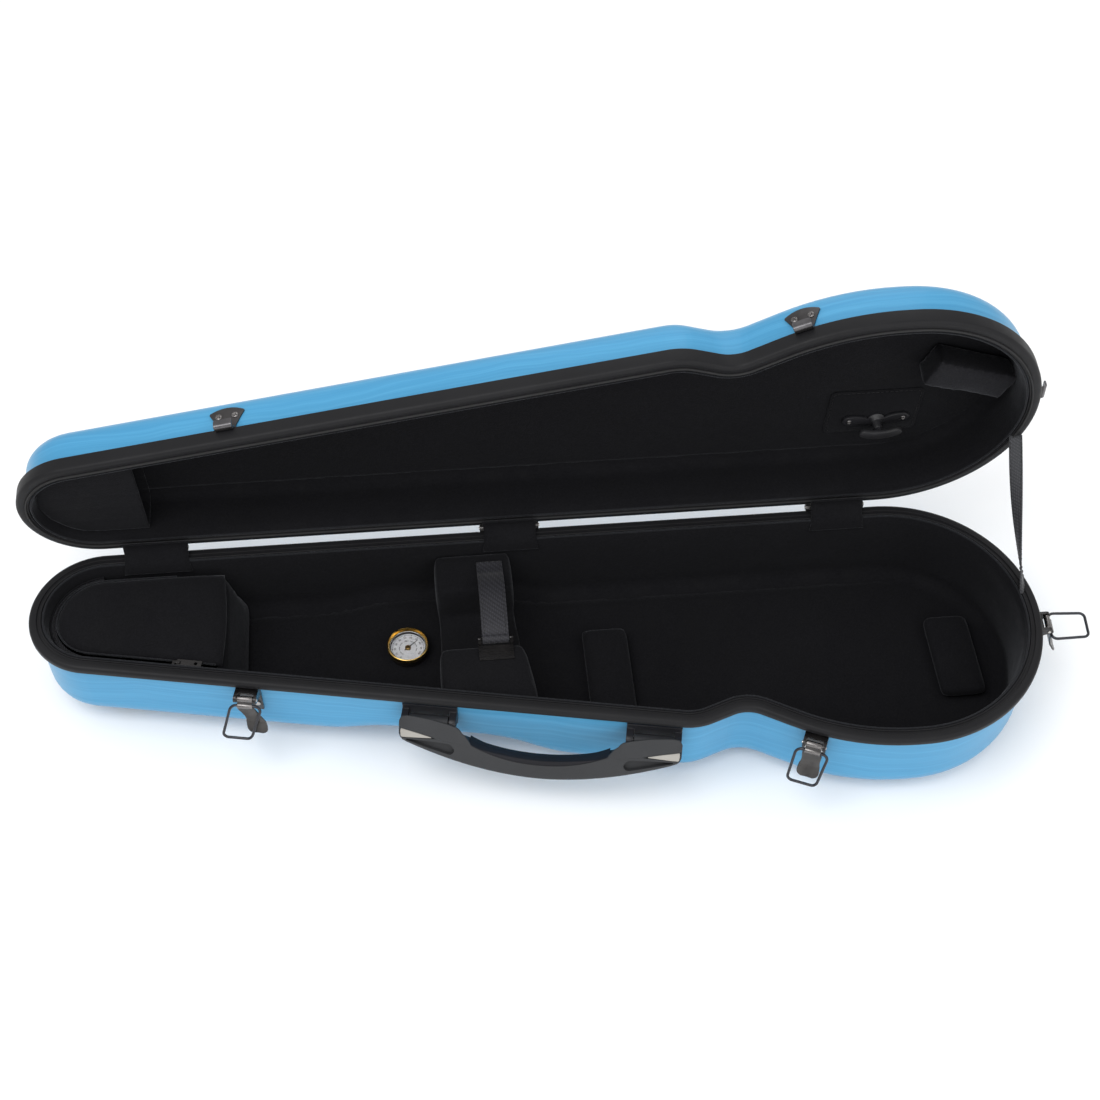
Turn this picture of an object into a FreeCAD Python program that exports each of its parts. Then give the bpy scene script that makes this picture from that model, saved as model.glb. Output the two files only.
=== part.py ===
import FreeCAD, Part
import os
import math
from FreeCAD import Vector as V, Matrix, Placement, Rotation

# Shaped full-size violin case, standing open on its feet.  All dimensions in mm.
# The design frame has the straight hinge side of the rim on the line y = 0, the rim plane of the
# base at z = 0, +X towards the wide end and -Y towards the handle.  SHIFT moves that frame so that
# the origin is the bottom centre of the whole open case.

# ---------------------------------------------------------------- driving dimensions
SHIFT = V(-2.13, 91.93, 86.0)      # design frame -> part frame
CASE_X0, CASE_X1 = -411.5, 376.0  # ends of the rim outline
CASE_Y1 = -225.3                  # widest point of the bulge
SHELL_IN = 5.5                    # shell wall set in from the rim trim
SHELL_T = 2.0                     # shell thickness
PAD_T = 5.0                       # foam padding
LIN_T = 1.0                       # plush lining
BASE_H_END, BASE_H_ARCH, BASE_H_BODY = 74.0, 63.5, 80.0   # depth of base shell below the rim
LID_H = 50.0                      # depth of lid above the rim plane
R_EDGE_BASE, R_EDGE_LID = 20.0, 18.0
TRIM_B, TRIM_L = 7.0, 14.0        # visible height of base and lid rim trims
RIM_GAP = 0.5                     # gap between the rims when shut
TRIM_W = 10.0                     # width of the rim face
LID_OPEN = 85.0                   # opening angle held by the stay strap
HINGE_Y, HINGE_Z = 1.8, 0.25      # lid hinge axis
HINGE_X = (-314.5, -33.0, 234.0)  # hinge centres
HINGE_L = 48.0
KN_R, PIN_R = 2.6, 1.2            # knuckle and pin
FOOT_H = 6.0

os.makedirs("parts", exist_ok=True)
NODES = {}


def put(name, shapes):
    NODES[name] = shapes if isinstance(shapes, list) else [shapes]


# ---------------------------------------------------------------- rim outline
# clockwise polygon with tangent corner radii; negative radius is the concave waist
POLY = [((CASE_X0, 0.0), 57.0), ((CASE_X1, 0.0), 110.0), ((CASE_X1, CASE_Y1), 115.0),
        ((207.1, CASE_Y1), 185.0), ((133.4, -184.0), -25.0), ((94.3, -198.1), 45.0),
        ((CASE_X0, -101.25), 53.0)]


def inset_poly(d, poly=POLY):
    n = len(poly)
    lines = []
    for i in range(n):
        (x0, y0), _ = poly[i]
        (x1, y1), _ = poly[(i + 1) % n]
        L = math.hypot(x1 - x0, y1 - y0)
        tx, ty = (x1 - x0) / L, (y1 - y0) / L
        nx, ny = ty, -tx              # inward for a clockwise polygon
        lines.append((x0 + nx * d, y0 + ny * d, tx, ty))
    out = []
    for i in range(n):
        x1, y1, ax, ay = lines[i - 1]
        x2, y2, bx, by = lines[i]
        det = ax * by - ay * bx
        s = ((x2 - x1) * by - (y2 - y1) * bx) / det
        r = poly[i][1]
        out.append(((x1 + ax * s, y1 + ay * s), r - d if r > 0 else r - d))
    return out


def round_wire(poly, z=0.0):
    n = len(poly)
    segs = []
    for i in range(n):
        (x, y), r = poly[i]
        (xp, yp), _ = poly[i - 1]
        (xn, yn), _ = poly[(i + 1) % n]
        u = V(xp - x, yp - y, 0)
        w = V(xn - x, yn - y, 0)
        u.normalize()
        w.normalize()
        R = abs(r)
        if R < 1e-6:
            segs.append((V(x, y, z), None, V(x, y, z)))
            continue
        half = math.acos(max(-1, min(1, u.dot(w)))) / 2
        t = R / math.tan(half)
        a = V(x, y, z) + u * t
        b = V(x, y, z) + w * t
        bis = u + w
        bis.normalize()
        c = V(x, y, z) + bis * (R / math.sin(half))
        m = c - bis * R
        segs.append((a, m, b))
    edges = []
    for i in range(n):
        a, m, b = segs[i]
        if m is not None:
            edges.append(Part.Arc(a, m, b).toShape())
        nx = segs[(i + 1) % n][0]
        if (nx - b).Length > 1e-4:
            edges.append(Part.LineSegment(b, nx).toShape())
    return Part.Wire(edges)


def prism(d, z0, z1, poly=POLY):
    return Part.Face(round_wire(inset_poly(d, poly), z0)).extrude(V(0, 0, z1 - z0))


def ring(d0, d1, z0, z1):
    return prism(d0, z0, z1).cut(prism(d1, z0 - 1, z1 + 1))


def underside(dz):
    # region above the underside profile of the base shell, raised by dz
    pts = [(-470.0, -BASE_H_END, 0), (-175.0, -BASE_H_END, 90.0), (-140.0, -BASE_H_ARCH, 90.0),
           (-48.0, -BASE_H_ARCH, 90.0), (-8.0, -BASE_H_BODY, 90.0), (440.0, -BASE_H_BODY, 0)]
    P = [((x, z + dz), r) for x, z, r in pts] + [((440.0, 20.0), 0), ((-470.0, 20.0), 0)]
    w = round_wire(P)
    w.rotate(V(0, 0, 0), V(1, 0, 0), 90)
    w.translate(V(0, 60, 0))
    return Part.Face(w).extrude(V(0, -340, 0))


def base_form(d, dz, r, ztop):
    s = prism(d, -95.0, ztop).common(underside(dz))
    edges = []
    for e in s.Edges:
        zs = [v.Z for v in e.Vertexes] + [e.valueAt((e.FirstParameter + e.LastParameter) / 2).z]
        vs = e.Vertexes
        dx, dy = abs(vs[0].X - vs[-1].X), abs(vs[0].Y - vs[-1].Y)
        if max(zs) > -30:
            continue
        if dx < 1e-3 and dy > 40:
            continue
        edges.append(e)
    return s.makeFillet(r, edges)


def lid_form(d, h, r, z0):
    s = prism(d, z0, h)
    edges = [e for e in s.Edges if min(v.Z for v in e.Vertexes) > h - 0.01]
    return s.makeFillet(r, edges)


def box(x0, y0, z0, x1, y1, z1):
    return Part.makeBox(x1 - x0, y1 - y0, z1 - z0, V(x0, y0, z0))


def cyl(p, ax, r, L):
    a = V(*ax)
    a.normalize()
    return Part.makeCylinder(r, L, V(*p) - a * (L / 2), a)


def fuse(items):
    s = items[0]
    for i in items[1:]:
        s = s.fuse(i)
    return s.removeSplitter()


def frame_at(p, n):
    # local frame on a wall: local x along the wall, local y outwards, local z up
    n = V(*n)
    n.normalize()
    t = V(n.y, -n.x, 0)
    m = Matrix(t.x, n.x, 0, p[0], t.y, n.y, 0, p[1], 0, 0, 1, p[2], 0, 0, 0, 1)
    return m


def _tr(shape, m):
    s = shape.copy()
    s.Placement = Placement(m).multiply(s.Placement)
    return s


def lid_pose(shape, ang=-LID_OPEN):
    s = shape.copy()
    s.rotate(V(0, HINGE_Y, HINGE_Z), V(1, 0, 0), ang)
    return s


# ---------------------------------------------------------------- hinge recess common to both trims
recess = [box(x - HINGE_L / 2 - 0.6, -1.3, -3.4, x + HINGE_L / 2 + 0.6, 6.0, 3.6) for x in HINGE_X]

# ---------------------------------------------------------------- base: shell, trim, padding, lining
outer = base_form(SHELL_IN, 0.0, R_EDGE_BASE, -2.2)
inner = base_form(SHELL_IN + SHELL_T, SHELL_T, R_EDGE_BASE - 2, 5.0)
base_shell = outer.cut(inner)
put("base_shell", base_shell)

trim_b = ring(0.0, SHELL_IN - 0.1, -TRIM_B, 0.0).fuse(ring(SHELL_IN - 0.2, TRIM_W, -2.0, 0.0)).removeSplitter()
groove = ring(6.3, 8.7, -1.2, 1.0)
trim_b = trim_b.cut(groove)
for r_ in recess:
    trim_b = trim_b.cut(r_)
put("base_trim", trim_b)

p_out = base_form(7.8, 2.3, 17.7, -2.4)
p_in = base_form(7.8 + PAD_T, 2.3 + PAD_T, 12.7, 5.0)
put("base_padding", p_out.cut(p_in))
l_out = base_form(12.95, 7.45, 12.5, -2.4)
l_in = base_form(13.95, 8.45, 11.5, 5.0)
put("base_lining", l_out.cut(l_in))
FL_END, FL_ARCH, FL_BODY = -BASE_H_END + 8.45, -BASE_H_ARCH + 8.45, -BASE_H_BODY + 8.45


def inside(shape, d=14.3, dz=8.8, r=11.0):
    # keep what lies inside the lined cavity
    return shape.common(base_form(d, dz, r, 5.0))


CAV = base_form(14.3, 8.8, 11.0, 30.0)

# feet
feet = []
foot_z = -BASE_H_BODY - FOOT_H
for x, y in ((-345.0, -37.0), (-345.0, -84.0), (244.0, -36.0), (244.0, -188.0)):
    zb = -BASE_H_BODY if x > 0 else -BASE_H_END
    f = Part.makeCone(8.0, 9.5, zb - foot_z, V(x, y, foot_z))
    feet.append(f.makeFillet(1.5, [e for e in f.Edges if abs(e.BoundBox.ZMax - foot_z) < 0.01]))
put("feet", feet)

# ---------------------------------------------------------------- neck cradle and strap
cx0, cx1 = -97.0, -20.0
blk = box(cx0, -170.0, -70.0, cx1, -10.0, -9.0)
notch = box(cx0 - 5, -104.0, -42.0, cx1 + 5, -56.0, 0.0)
blk = blk.cut(notch)
blk = blk.common(CAV)
up = [e for e in blk.Edges if min(v.Z for v in e.Vertexes) > -9.01]
try:
    blk = blk.makeFillet(5.0, up)
except Exception as ex:
    print("cradle fillet skipped", ex)
put("neck_cradle", blk)

# strap: anchored low on the front side of the notch, over the neck, free end on the rear block
SX0, SX1 = -62.0, -41.0
STRAP_AX = (-51.5, -101.0, -6.0)
sp = [(-102.0, -8.35), (-102.0, -2.0), (-92.0, 2.0), (-62.0, 4.5), (-48.0, 0.0), (-40.0, -7.0), (-28.0, -8.1)]
so = sp[1:]
w_in = [V(SX0, y, z) for y, z in so]
w_out = [V(SX0, y + 0.3, z + 1.6) for y, z in reversed(so)]
strap = Part.Face(Part.makePolygon(w_in + w_out + [w_in[0]])).extrude(V(SX1 - SX0, 0, 0))
BAR_Y, BAR_Z = -104.0, -5.0
strap = strap.fuse(cyl((-51.5, BAR_Y, BAR_Z), (1, 0, 0), 2.8, SX1 - SX0)).fuse(box(SX0, -104.6, -4.0, SX1, -101.6, -1.0)).removeSplitter()
strap = strap.cut(cyl((-51.5, BAR_Y, BAR_Z), (1, 0, 0), 1.38, 60))
anchor = box(SX0 - 3.0, -122.0, -8.7, SX1 + 3.0, -108.2, -7.2)
for xa in (SX0 - 3.0, SX1 + 0.6):
    anchor = anchor.fuse(box(xa, -109.0, -8.7, xa + 2.4, BAR_Y, -3.4)).fuse(cyl((xa + 1.2, BAR_Y, BAR_Z), (1, 0, 0), 1.9, 2.4))
anchor = anchor.fuse(cyl((-51.5, BAR_Y, BAR_Z), (1, 0, 0), 1.3, SX1 - SX0 + 4.0)).removeSplitter()
put("neck_strap", strap)
put("strap_anchor", anchor)

# support pads that carry the body of the instrument
pads = []
for x0, y0, x1, y1 in ((20.0, -150.0, 60.0, -60.0), (300.0, -150.0, 340.0, -70.0)):
    p = box(x0, y0, -80.0, x1, y1, -58.0).common(CAV)
    try:
        p = p.makeFillet(5.0, [e for e in p.Edges if min(v.Z for v in e.Vertexes) > -58.01])
    except Exception as ex:
        print("pad fillet skipped", ex)
    pads.append(p)
put("support_pads", pads)

# ---------------------------------------------------------------- accessory pouch at the narrow end
PW_X0, PW_X1 = -268.0, -252.0
cav_half = CAV.common(box(-430, -240, -90, PW_X1, 20, -4.0))
wall = Part.Face(Part.makePolygon([V(PW_X0, 0, -75), V(PW_X1 + 10, 0, -75), V(PW_X0 + 4, 0, -12.2), V(PW_X0, 0, -12.2), V(PW_X0, 0, -75)])).extrude(V(0, -240, 0))
put("pouch_wall", wall.common(CAV))
PK_D = 21.0
cover = prism(PK_D, -11.7, -4.0).common(box(-430, -240, -20, PW_X0 + 6, 20, 0))
try:
    cover = cover.makeFillet(3.0, [e for e in cover.Edges if min(v.Z for v in e.Vertexes) > -4.01])
except Exception as ex:
    print("cover fillet skipped", ex)
# round piping bead along the hinge edge of the cover, on its turning axis
cover = cover.fuse(cyl((-312.5, -21.5, -8.0), (1, 0, 0), 1.2, 75.0)).removeSplitter()
put("pouch_cover", cover)
# gusset that carries the zip round the cover
zt = ring(14.4, 15.5, -13.4, -10.4).common(box(-430, -240, -20, PW_X0 - 0.4, -12.0, 0))
put("pouch_gusset", zt)
zip_ = ring(15.8, 19.2, -12.4, -10.4).common(box(-430, -240, -20, PW_X0 - 0.4, -26.0, 0))
put("pouch_zip", zip_)
# slider and pull on the straight front run of the zip
fdir = V(CASE_X0 - 94.3, -101.25 + 198.1, 0)
fdir.normalize()                       # along the front side, towards the narrow end
fn = V(fdir.y, -fdir.x, 0)
if fn.y > 0:
    fn = fn * -1                       # outward normal of the front side


def front_pt(x, d, z=0.0):
    # point on the straight front side at design x, inset by d
    (xa, ya), _ = inset_poly(d)[6]
    (xb, yb), _ = inset_poly(d)[5]
    k = (x - xa) / (xb - xa)
    return V(x, ya + (yb - ya) * k, z)


sl = front_pt(-296.0, 17.5, -9.0)
m_sl = frame_at((sl.x, sl.y, sl.z), (fn.x, fn.y, fn.z))
slider = box(-4.5, -3.2, -1.1, 4.5, 3.2, 1.6)
lug = box(-2.2, -1.0, 1.6, 2.2, 1.0, 4.2).cut(cyl((0, 0, 3.1), (0, 1, 0), 0.66, 10))
put("zip_slider", _tr(fuse([slider, lug]), m_sl))
pull = box(-19.0, -2.9, 2.5, 0.2, 2.9, 3.7).cut(box(-2.9, -1.25, 0, 2.9, 1.25, 6)).fuse(cyl((0, 0, 3.1), (0, 1, 0), 0.6, 5.6)).removeSplitter()
pull = pull.cut(cyl((-14.5, 0, 3.1), (0, 0, 1), 1.4, 6))
put("zip_pull", _tr(pull, m_sl))

# ---------------------------------------------------------------- hygrometer on the neck floor
HX, HY = -120.5, -76.0
hz = FL_ARCH + 0.35
SCR = Matrix()
tilt = 0.0
housing = cyl((HX, HY, hz + 4.0), (0, 0, 1), 15.4, 8.0).cut(cyl((HX, HY, hz + 6.0), (0, 0, 1), 14.1, 6.0))
put("hygrometer_housing", housing)
bz = cyl((HX, HY, hz + 7.5), (0, 0, 1), 16.9, 3.0).cut(cyl((HX, HY, hz + 7.5), (0, 0, 1), 15.46, 4.0))
bz = bz.fuse(cyl((HX, HY, hz + 9.75), (0, 0, 1), 16.9, 1.5).cut(cyl((HX, HY, hz + 9.75), (0, 0, 1), 13.9, 4.0))).removeSplitter()
bz = bz.makeFillet(0.7, [e for e in bz.Edges if min(v.Z for v in e.Vertexes) > hz + 10.4 and e.Length > 95])
put("hygrometer_bezel", bz)
put("hygrometer_dial", cyl((HX, HY, hz + 3.5), (0, 0, 1), 14.0, 1.0))
ndl = box(HX - 3.5, HY - 0.5, hz + 4.9, HX + 10.4, HY + 0.5, hz + 5.3).fuse(cyl((HX, HY, hz + 5.1), (0, 0, 1), 2.0, 1.4)).removeSplitter()
ndl.rotate(V(HX, HY, 0), V(0, 0, 1), 40)
put("hygrometer_needle", ndl)
put("hygrometer_lens", cyl((HX, HY, hz + 7.4), (0, 0, 1), 14.0, 1.0))

# ---------------------------------------------------------------- latches
def front_frame(x, d=SHELL_IN):
    p = front_pt(x, d)
    return frame_at((p.x, p.y, 0), (fn.x, fn.y, fn.z)), p, fn


def arc_frame(cx, cy, R, ang):
    n = V(math.cos(math.radians(ang)), math.sin(math.radians(ang)), 0)
    p = V(cx, cy, 0) + n * R
    return frame_at((p.x, p.y, 0), (n.x, n.y, 0)), p, n


# front left on the straight side, front right on the flank of the bulge, one on the wide end
slope_n = V(-(-184.0 - CASE_Y1), -(207.1 - 133.4), 0)
slope_n.normalize()
LATCH = []
LATCH.append(front_frame(-242.0))
turn = math.atan2(-184.0 - CASE_Y1, 207.1 - 133.4)
(cvx, cvy) = (207.1 + 185.0 * math.tan(turn / 2), CASE_Y1 + 185.0)
LATCH.append(arc_frame(cvx, cvy, 185.0 - SHELL_IN, -113.5))
LATCH.append(arc_frame(261.0, CASE_Y1 + 115.0, 115.0 - SHELL_IN, -5.0))
LA_N, LA_Z = 12.5, -10.5     # lever pin: distance from the wall, height below the rim
BAIL_L = 29.5                 # reach of the bail from its barrel to the cross bar
LEV_TILT = 14.0
BB_V, BB_W = 5.5, 1.5
BAIL_TILT = (25.0, 25.0, 90.0)


def rotx(shape, deg, y, z):
    s = shape.copy()
    s.rotate(V(0, y, z), V(1, 0, 0), deg)
    return s


JO = {}
for i, (m, p, n) in enumerate(LATCH):
    k = ("a", "b", "c")[i]
    plate = box(-9.0, 0.0, -40.0, 9.0, 1.5, -8.4).fuse(box(-6.4, 0.0, -9.6, 6.4, 8.6, -8.4))
    ears = []
    for sx in (-1, 1):
        e = Part.Face(Part.makePolygon([V(0, 0, -20.0), V(0, 0, -8.4), V(0, 5.6, -8.2), V(0, LA_N, LA_Z + 2.95), V(0, LA_N, LA_Z - 2.95), V(0, 0, -20.0)])).extrude(V(2.5, 0, 0))
        e.translate(V(min(sx * 6.3, sx * 8.8), 0, 0))
        e = e.fuse(cyl((sx * 7.55, LA_N, LA_Z), (1, 0, 0), 3.0, 2.5))
        ears.append(e)
    lb = fuse([plate] + ears).cut(cyl((0, LA_N, LA_Z), (1, 0, 0), PIN_R + 0.02, 30))
    if i != 0:
        # the plate sits on a curved wall: its back follows the wall
        Rw = (185.0, 115.0)[i - 1] - SHELL_IN
        lb = lb.fuse(box(-9.0, -1.2, -40.0, 9.0, 0.2, -8.4).cut(Part.makeCylinder(Rw, 60, V(0, -Rw, -50), V(0, 0, 1)))).removeSplitter()
        lb = lb.cut(Part.makeCylinder(Rw, 60, V(0, -Rw, -50), V(0, 0, 1)))
    holes = [cyl((sx * 5.0, 0, -31.0), (0, 1, 0), 1.5, 8) for sx in (-1, 1)]
    for h in holes:
        lb = lb.cut(h)
    put("latch_base_" + k, _tr(lb, m))
    rv = []
    for sx in (-1, 1):
        r = cyl((sx * 5.0, 0.85, -31.0), (0, 1, 0), 1.45, 1.6).fuse(cyl((sx * 5.0, 2.05, -31.0), (0, 1, 0), 2.4, 0.9)).removeSplitter()
        rv.append(_tr(r, m))
    NODES.setdefault("latch_rivets", []).extend(rv)
    NODES.setdefault("latch_pins", []).append(_tr(cyl((0, LA_N, LA_Z), (1, 0, 0), PIN_R, 18.6), m))
    # lever, built hanging straight down, then tilted outwards about the pin
    lev = cyl((0, LA_N, LA_Z), (1, 0, 0), 2.4, 12.0)
    lev = lev.fuse(cyl((0, LA_N + BB_W, LA_Z - BB_V), (1, 0, 0), 2.3, 12.0))
    lev = lev.fuse(box(-6.0, LA_N - 0.6, LA_Z - BB_V, 6.0, LA_N + 1.2, LA_Z))
    pad = Part.Face(Part.makePolygon([V(0, LA_N + 2.2, LA_Z - 6.0), V(0, LA_N + 0.8, LA_Z - 6.0), V(0, LA_N - 0.2, LA_Z - 14.0),
                                      V(0, LA_N - 0.4, LA_Z - 21.0), V(0, LA_N + 2.8, LA_Z - 30.0), V(0, LA_N + 4.2, LA_Z - 29.6),
                                      V(0, LA_N + 1.1, LA_Z - 21.0), V(0, LA_N + 1.3, LA_Z - 14.0), V(0, LA_N + 2.2, LA_Z - 6.0)])).extrude(V(16.0, 0, 0))
    pad.translate(V(-8.0, 0, 0))
    lev = fuse([lev, pad.cut(box(-9, 0, LA_Z - 8.4, -6.0, 30, LA_Z)).cut(box(6.0, 0, LA_Z - 8.4, 9, 30, LA_Z))])
    lev = lev.cut(cyl((0, LA_N, LA_Z), (1, 0, 0), PIN_R + 0.05, 30))
    lev = lev.cut(cyl((0, LA_N + BB_W, LA_Z - BB_V), (1, 0, 0), 1.15, 30))
    put("latch_lever_" + k, _tr(rotx(lev, LEV_TILT, LA_N, LA_Z), m))
    ca, sa = math.cos(math.radians(LEV_TILT)), math.sin(math.radians(LEV_TILT))
    by = LA_N + BB_W * ca + BB_V * sa
    bzz = LA_Z + BB_W * sa - BB_V * ca
    wr = 1.1
    bl = [cyl((0, by, bzz), (1, 0, 0), wr, 22.0)]
    for sx in (-1, 1):
        bl.append(Part.makeCylinder(wr, BAIL_L, V(sx * 11.0, by, bzz), V(0, 0, -1)))
        bl.append(Part.makeSphere(wr, V(sx * 11.0, by, bzz)))
        bl.append(Part.makeSphere(wr, V(sx * 11.0, by, bzz - BAIL_L)))
    bl.append(cyl((0, by, bzz - BAIL_L), (1, 0, 0), wr, 22.0))
    put("latch_bail_" + k, _tr(rotx(fuse(bl), BAIL_TILT[i], by, bzz), m))
    la = m.multVec(V(0, LA_N, LA_Z))
    lb_ = m.multVec(V(0, by, bzz))
    JO["latch_" + k] = (la, lb_, m.multVec(V(1, 0, 0)) - m.multVec(V(0, 0, 0)), n, p)

# ---------------------------------------------------------------- handle
HB_X = (-105.0, 63.0)           # design x of the bracket centres
HP_N, HP_Z = 10.0, -22.0        # handle pivot
H_TILT = 30.0
h0 = front_pt((HB_X[0] + HB_X[1]) / 2, SHELL_IN)
m_h = frame_at((h0.x, h0.y, 0), (fn.x, fn.y, fn.z))
half = (front_pt(HB_X[1], SHELL_IN) - front_pt(HB_X[0], SHELL_IN)).Length / 2
# local x of this frame runs towards -X
scr = []
for i, sx in enumerate((1, -1)):
    c = sx * half
    b = box(c - 21, 0, -33.5, c + 21, 3.0, -12.0)
    for q in (-1, 1):
        x0, x1 = sorted((c + q * 21, c + q * 15.5))
        b = b.fuse(box(x0, 0, -27.0, x1, HP_N, -17.0)).fuse(cyl(((x0 + x1) / 2, HP_N, HP_Z), (1, 0, 0), 5.0, 5.5))
    b = b.removeSplitter()
    b = b.cut(cyl((c, HP_N, HP_Z), (1, 0, 0), 2.02, 60))
    for q in (-1, 1):
        b = b.cut(cyl((c + q * 9.0, 1.0, -30.2), (0, 1, 0), 1.5, 8))
        s = cyl((c + q * 9.0, 1.45, -30.2), (0, 1, 0), 1.45, 2.9).fuse(cyl((c + q * 9.0, 3.5, -30.2), (0, 1, 0), 2.7, 1.0)).removeSplitter()
        scr.append(_tr(s, m_h))
    put("handle_bracket_" + ("left", "right")[i], _tr(b, m_h))
    NODES.setdefault("handle_pins", []).append(_tr(cyl((c, HP_N, HP_Z), (1, 0, 0), 2.0, 41.6), m_h))
put("handle_screws", scr)


def hpoly(pts, w0, w1):
    # (u, v) outline in the plane of the handle, v away from the pivot, extruded across from w0 to w1
    P = [V(u, HP_N + w0, HP_Z - v) for u, v in pts]
    return Part.Face(Part.makePolygon(P + [P[0]])).extrude(V(0, w1 - w0, 0))


def bow(u, e, c, L):
    # smooth bow from e at the ends to c in the middle
    k = abs(u) / L
    return c + (e - c) * k * k * (1.0 if k < 1 else 1.0)


HL = half + 22.0
us = [-HL + i * (2 * HL / 24.0) for i in range(25)]
outer_e = [(u, 38.0 - 19.0 * (abs(u) / HL) ** 1.7) for u in us]
inner_e = [(u, 8.2 if abs(u) > half - 20 else 21.0 - 12.8 * (abs(u) / (half - 20)) ** 2.2) for u in us]
grip = hpoly(outer_e + inner_e[::-1], -7.0, 7.0)
for sx in (-1, 1):
    c = sx * half
    kn = cyl((c, HP_N, HP_Z), (1, 0, 0), 5.4, 30.0).fuse(box(c - 15.0, HP_N - 5.0, HP_Z - 12.0, c + 15.0, HP_N + 5.0, HP_Z))
    grip = grip.fuse(kn)
grip = grip.removeSplitter()
for sx in (-1, 1):
    grip = grip.cut(cyl((sx * half, HP_N, HP_Z), (1, 0, 0), 2.06, 60))
# channel under the fingers that takes the soft insert
u2 = [-62.0 + i * (124.0 / 16) for i in range(17)]
ch_in = [(u, 21.0 - 12.8 * (abs(u) / (half - 20)) ** 2.2) for u in u2]
ch_lo = [(u, v + 5.0) for u, v in ch_in]
soft = hpoly(ch_lo + [(u, v) for u, v in ch_in][::-1], -4.5, 4.5)
grip = grip.cut(hpoly(ch_lo + [(u, v - 6.0) for u, v in ch_in][::-1], -4.5, 4.5))
put("handle_soft_insert", _tr(rotx(soft, H_TILT, HP_N, HP_Z), m_h))
# pale wedge inserts on the outer face at both ends
ins = []
for sx in (-1, 1):
    c = sx * (HL - 1.0)
    pts = [(c, 14.0), (c - sx * 44.0, 24.0), (c, 20.0 - 0.6)]
    w = hpoly(pts, 5.4, 7.3)
    grip = grip.cut(hpoly(pts, 5.4, 8.3))
    ins.append(_tr(rotx(w, H_TILT, HP_N, HP_Z), m_h))
put("handle_inserts", ins)
put("handle_grip", _tr(rotx(grip, H_TILT, HP_N, HP_Z), m_h))
JO["handle"] = (m_h.multVec(V(0, HP_N, HP_Z)), m_h.multVec(V(1, 0, 0)) - m_h.multVec(V(0, 0, 0)))

# ---------------------------------------------------------------- lid (built shut, then opened)
lid_parts = {}
trim_l = ring(0.0, SHELL_IN - 0.1, RIM_GAP, TRIM_L).fuse(ring(SHELL_IN - 0.2, TRIM_W, RIM_GAP, RIM_GAP + 2.0)).removeSplitter()
trim_l = trim_l.cut(ring(6.7, 8.3, 0.0, RIM_GAP + 1.2))
for r_ in recess:
    trim_l = trim_l.cut(r_)
lid_parts["lid_trim"] = [trim_l]
lid_parts["lid_seal"] = [ring(6.75, 8.25, -0.8, RIM_GAP + 1.2)]
lo = lid_form(SHELL_IN, LID_H, R_EDGE_LID, RIM_GAP + 2.2)
li = lid_form(SHELL_IN + SHELL_T, LID_H - SHELL_T, R_EDGE_LID - 2, -5)
lid_parts["lid_shell"] = [lo.cut(li)]
po = lid_form(7.8, LID_H - 2.3, 15.7, RIM_GAP + 2.4)
pi_ = lid_form(12.8, LID_H - 7.3, 10.7, -5)
lid_parts["lid_padding"] = [po.cut(pi_)]
no = lid_form(12.95, LID_H - 7.45, 10.5, RIM_GAP + 2.4)
ni = lid_form(13.95, LID_H - 8.45, 9.5, -5)
lid_parts["lid_lining"] = [no.cut(ni)]
LCAV = lid_form(14.25, LID_H - 8.75, 9.2, -5)
CEIL = LID_H - 8.45             # inside face of the lid lining

# bow holder: stitched patch, base bar with two screwed ears, turning crescent paddle
patch = box(222.0, -98.0, CEIL - 1.3, 300.0, -44.0, CEIL - 0.3)
lid_parts["bow_holder_patch"] = [patch]
bx, by_ = 265.0, -61.0
hz0 = CEIL - 1.35
bar = box(bx - 22, by_ - 4.5, hz0 - 3.0, bx + 22, by_ + 4.5, hz0)
bar = bar.fuse(cyl((bx - 22, by_, hz0 - 1.5), (0, 0, 1), 6.0, 3.0)).fuse(cyl((bx + 22, by_, hz0 - 1.5), (0, 0, 1), 6.0, 3.0))
bar = bar.fuse(cyl((bx, by_, hz0 - 6.0), (0, 0, 1), 7.0, 12.0)).removeSplitter()
bar = bar.cut(cyl((bx, by_, hz0 - 8), (0, 0, 1), 2.56, 13.0))
for q in (-1, 1):
    bar = bar.cut(cyl((bx + q * 22, by_, hz0 - 2), (0, 0, 1), 1.6, 10))
lid_parts["bow_holder_base"] = [bar]
lid_parts["bow_holder_screws"] = [cyl((bx + q * 22, by_, hz0 - 1.6), (0, 0, 1), 1.55, 3.2).fuse(cyl((bx + q * 22, by_, hz0 - 3.7), (0, 0, 1), 3.0, 1.4)).removeSplitter() for q in (-1, 1)]
pd = cyl((bx, by_, hz0 - 6.6), (0, 0, 1), 2.5, 10.0)
pdl = box(bx - 19, by_ - 5.0, hz0 - 16.0, bx + 19, by_ + 5.0, hz0 - 12.4)
pdl = pdl.fuse(cyl((bx - 19, by_, hz0 - 14.2), (0, 0, 1), 5.0, 3.6)).fuse(cyl((bx + 19, by_, hz0 - 14.2), (0, 0, 1), 5.0, 3.6)).removeSplitter()
lid_parts["bow_holder_paddle"] = [pd.fuse(pdl).removeSplitter()]
PAD_C = V(bx, by_, hz0 - 12.0)

# foam block in the wide end of the lid and the bow-tip sleeve at the narrow end
fb = box(288.0, -143.0, 19.0, 360.0, -113.0, 60.0)
fb.rotate(V(324, -128, 0), V(0, 0, 1), 20)
fb = fb.common(LCAV)
lid_parts["foam_block"] = [fb]
sleeve = LCAV.common(box(-430, -240, 9.0, -318.0, 20, 60)).cut(lid_form(16.25, LID_H - 10.6, 8.0, -5).common(box(-430, -240, 11.0, -300.0, 20, 60)))
lid_parts["bow_tip_sleeve"] = [sleeve]

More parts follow.
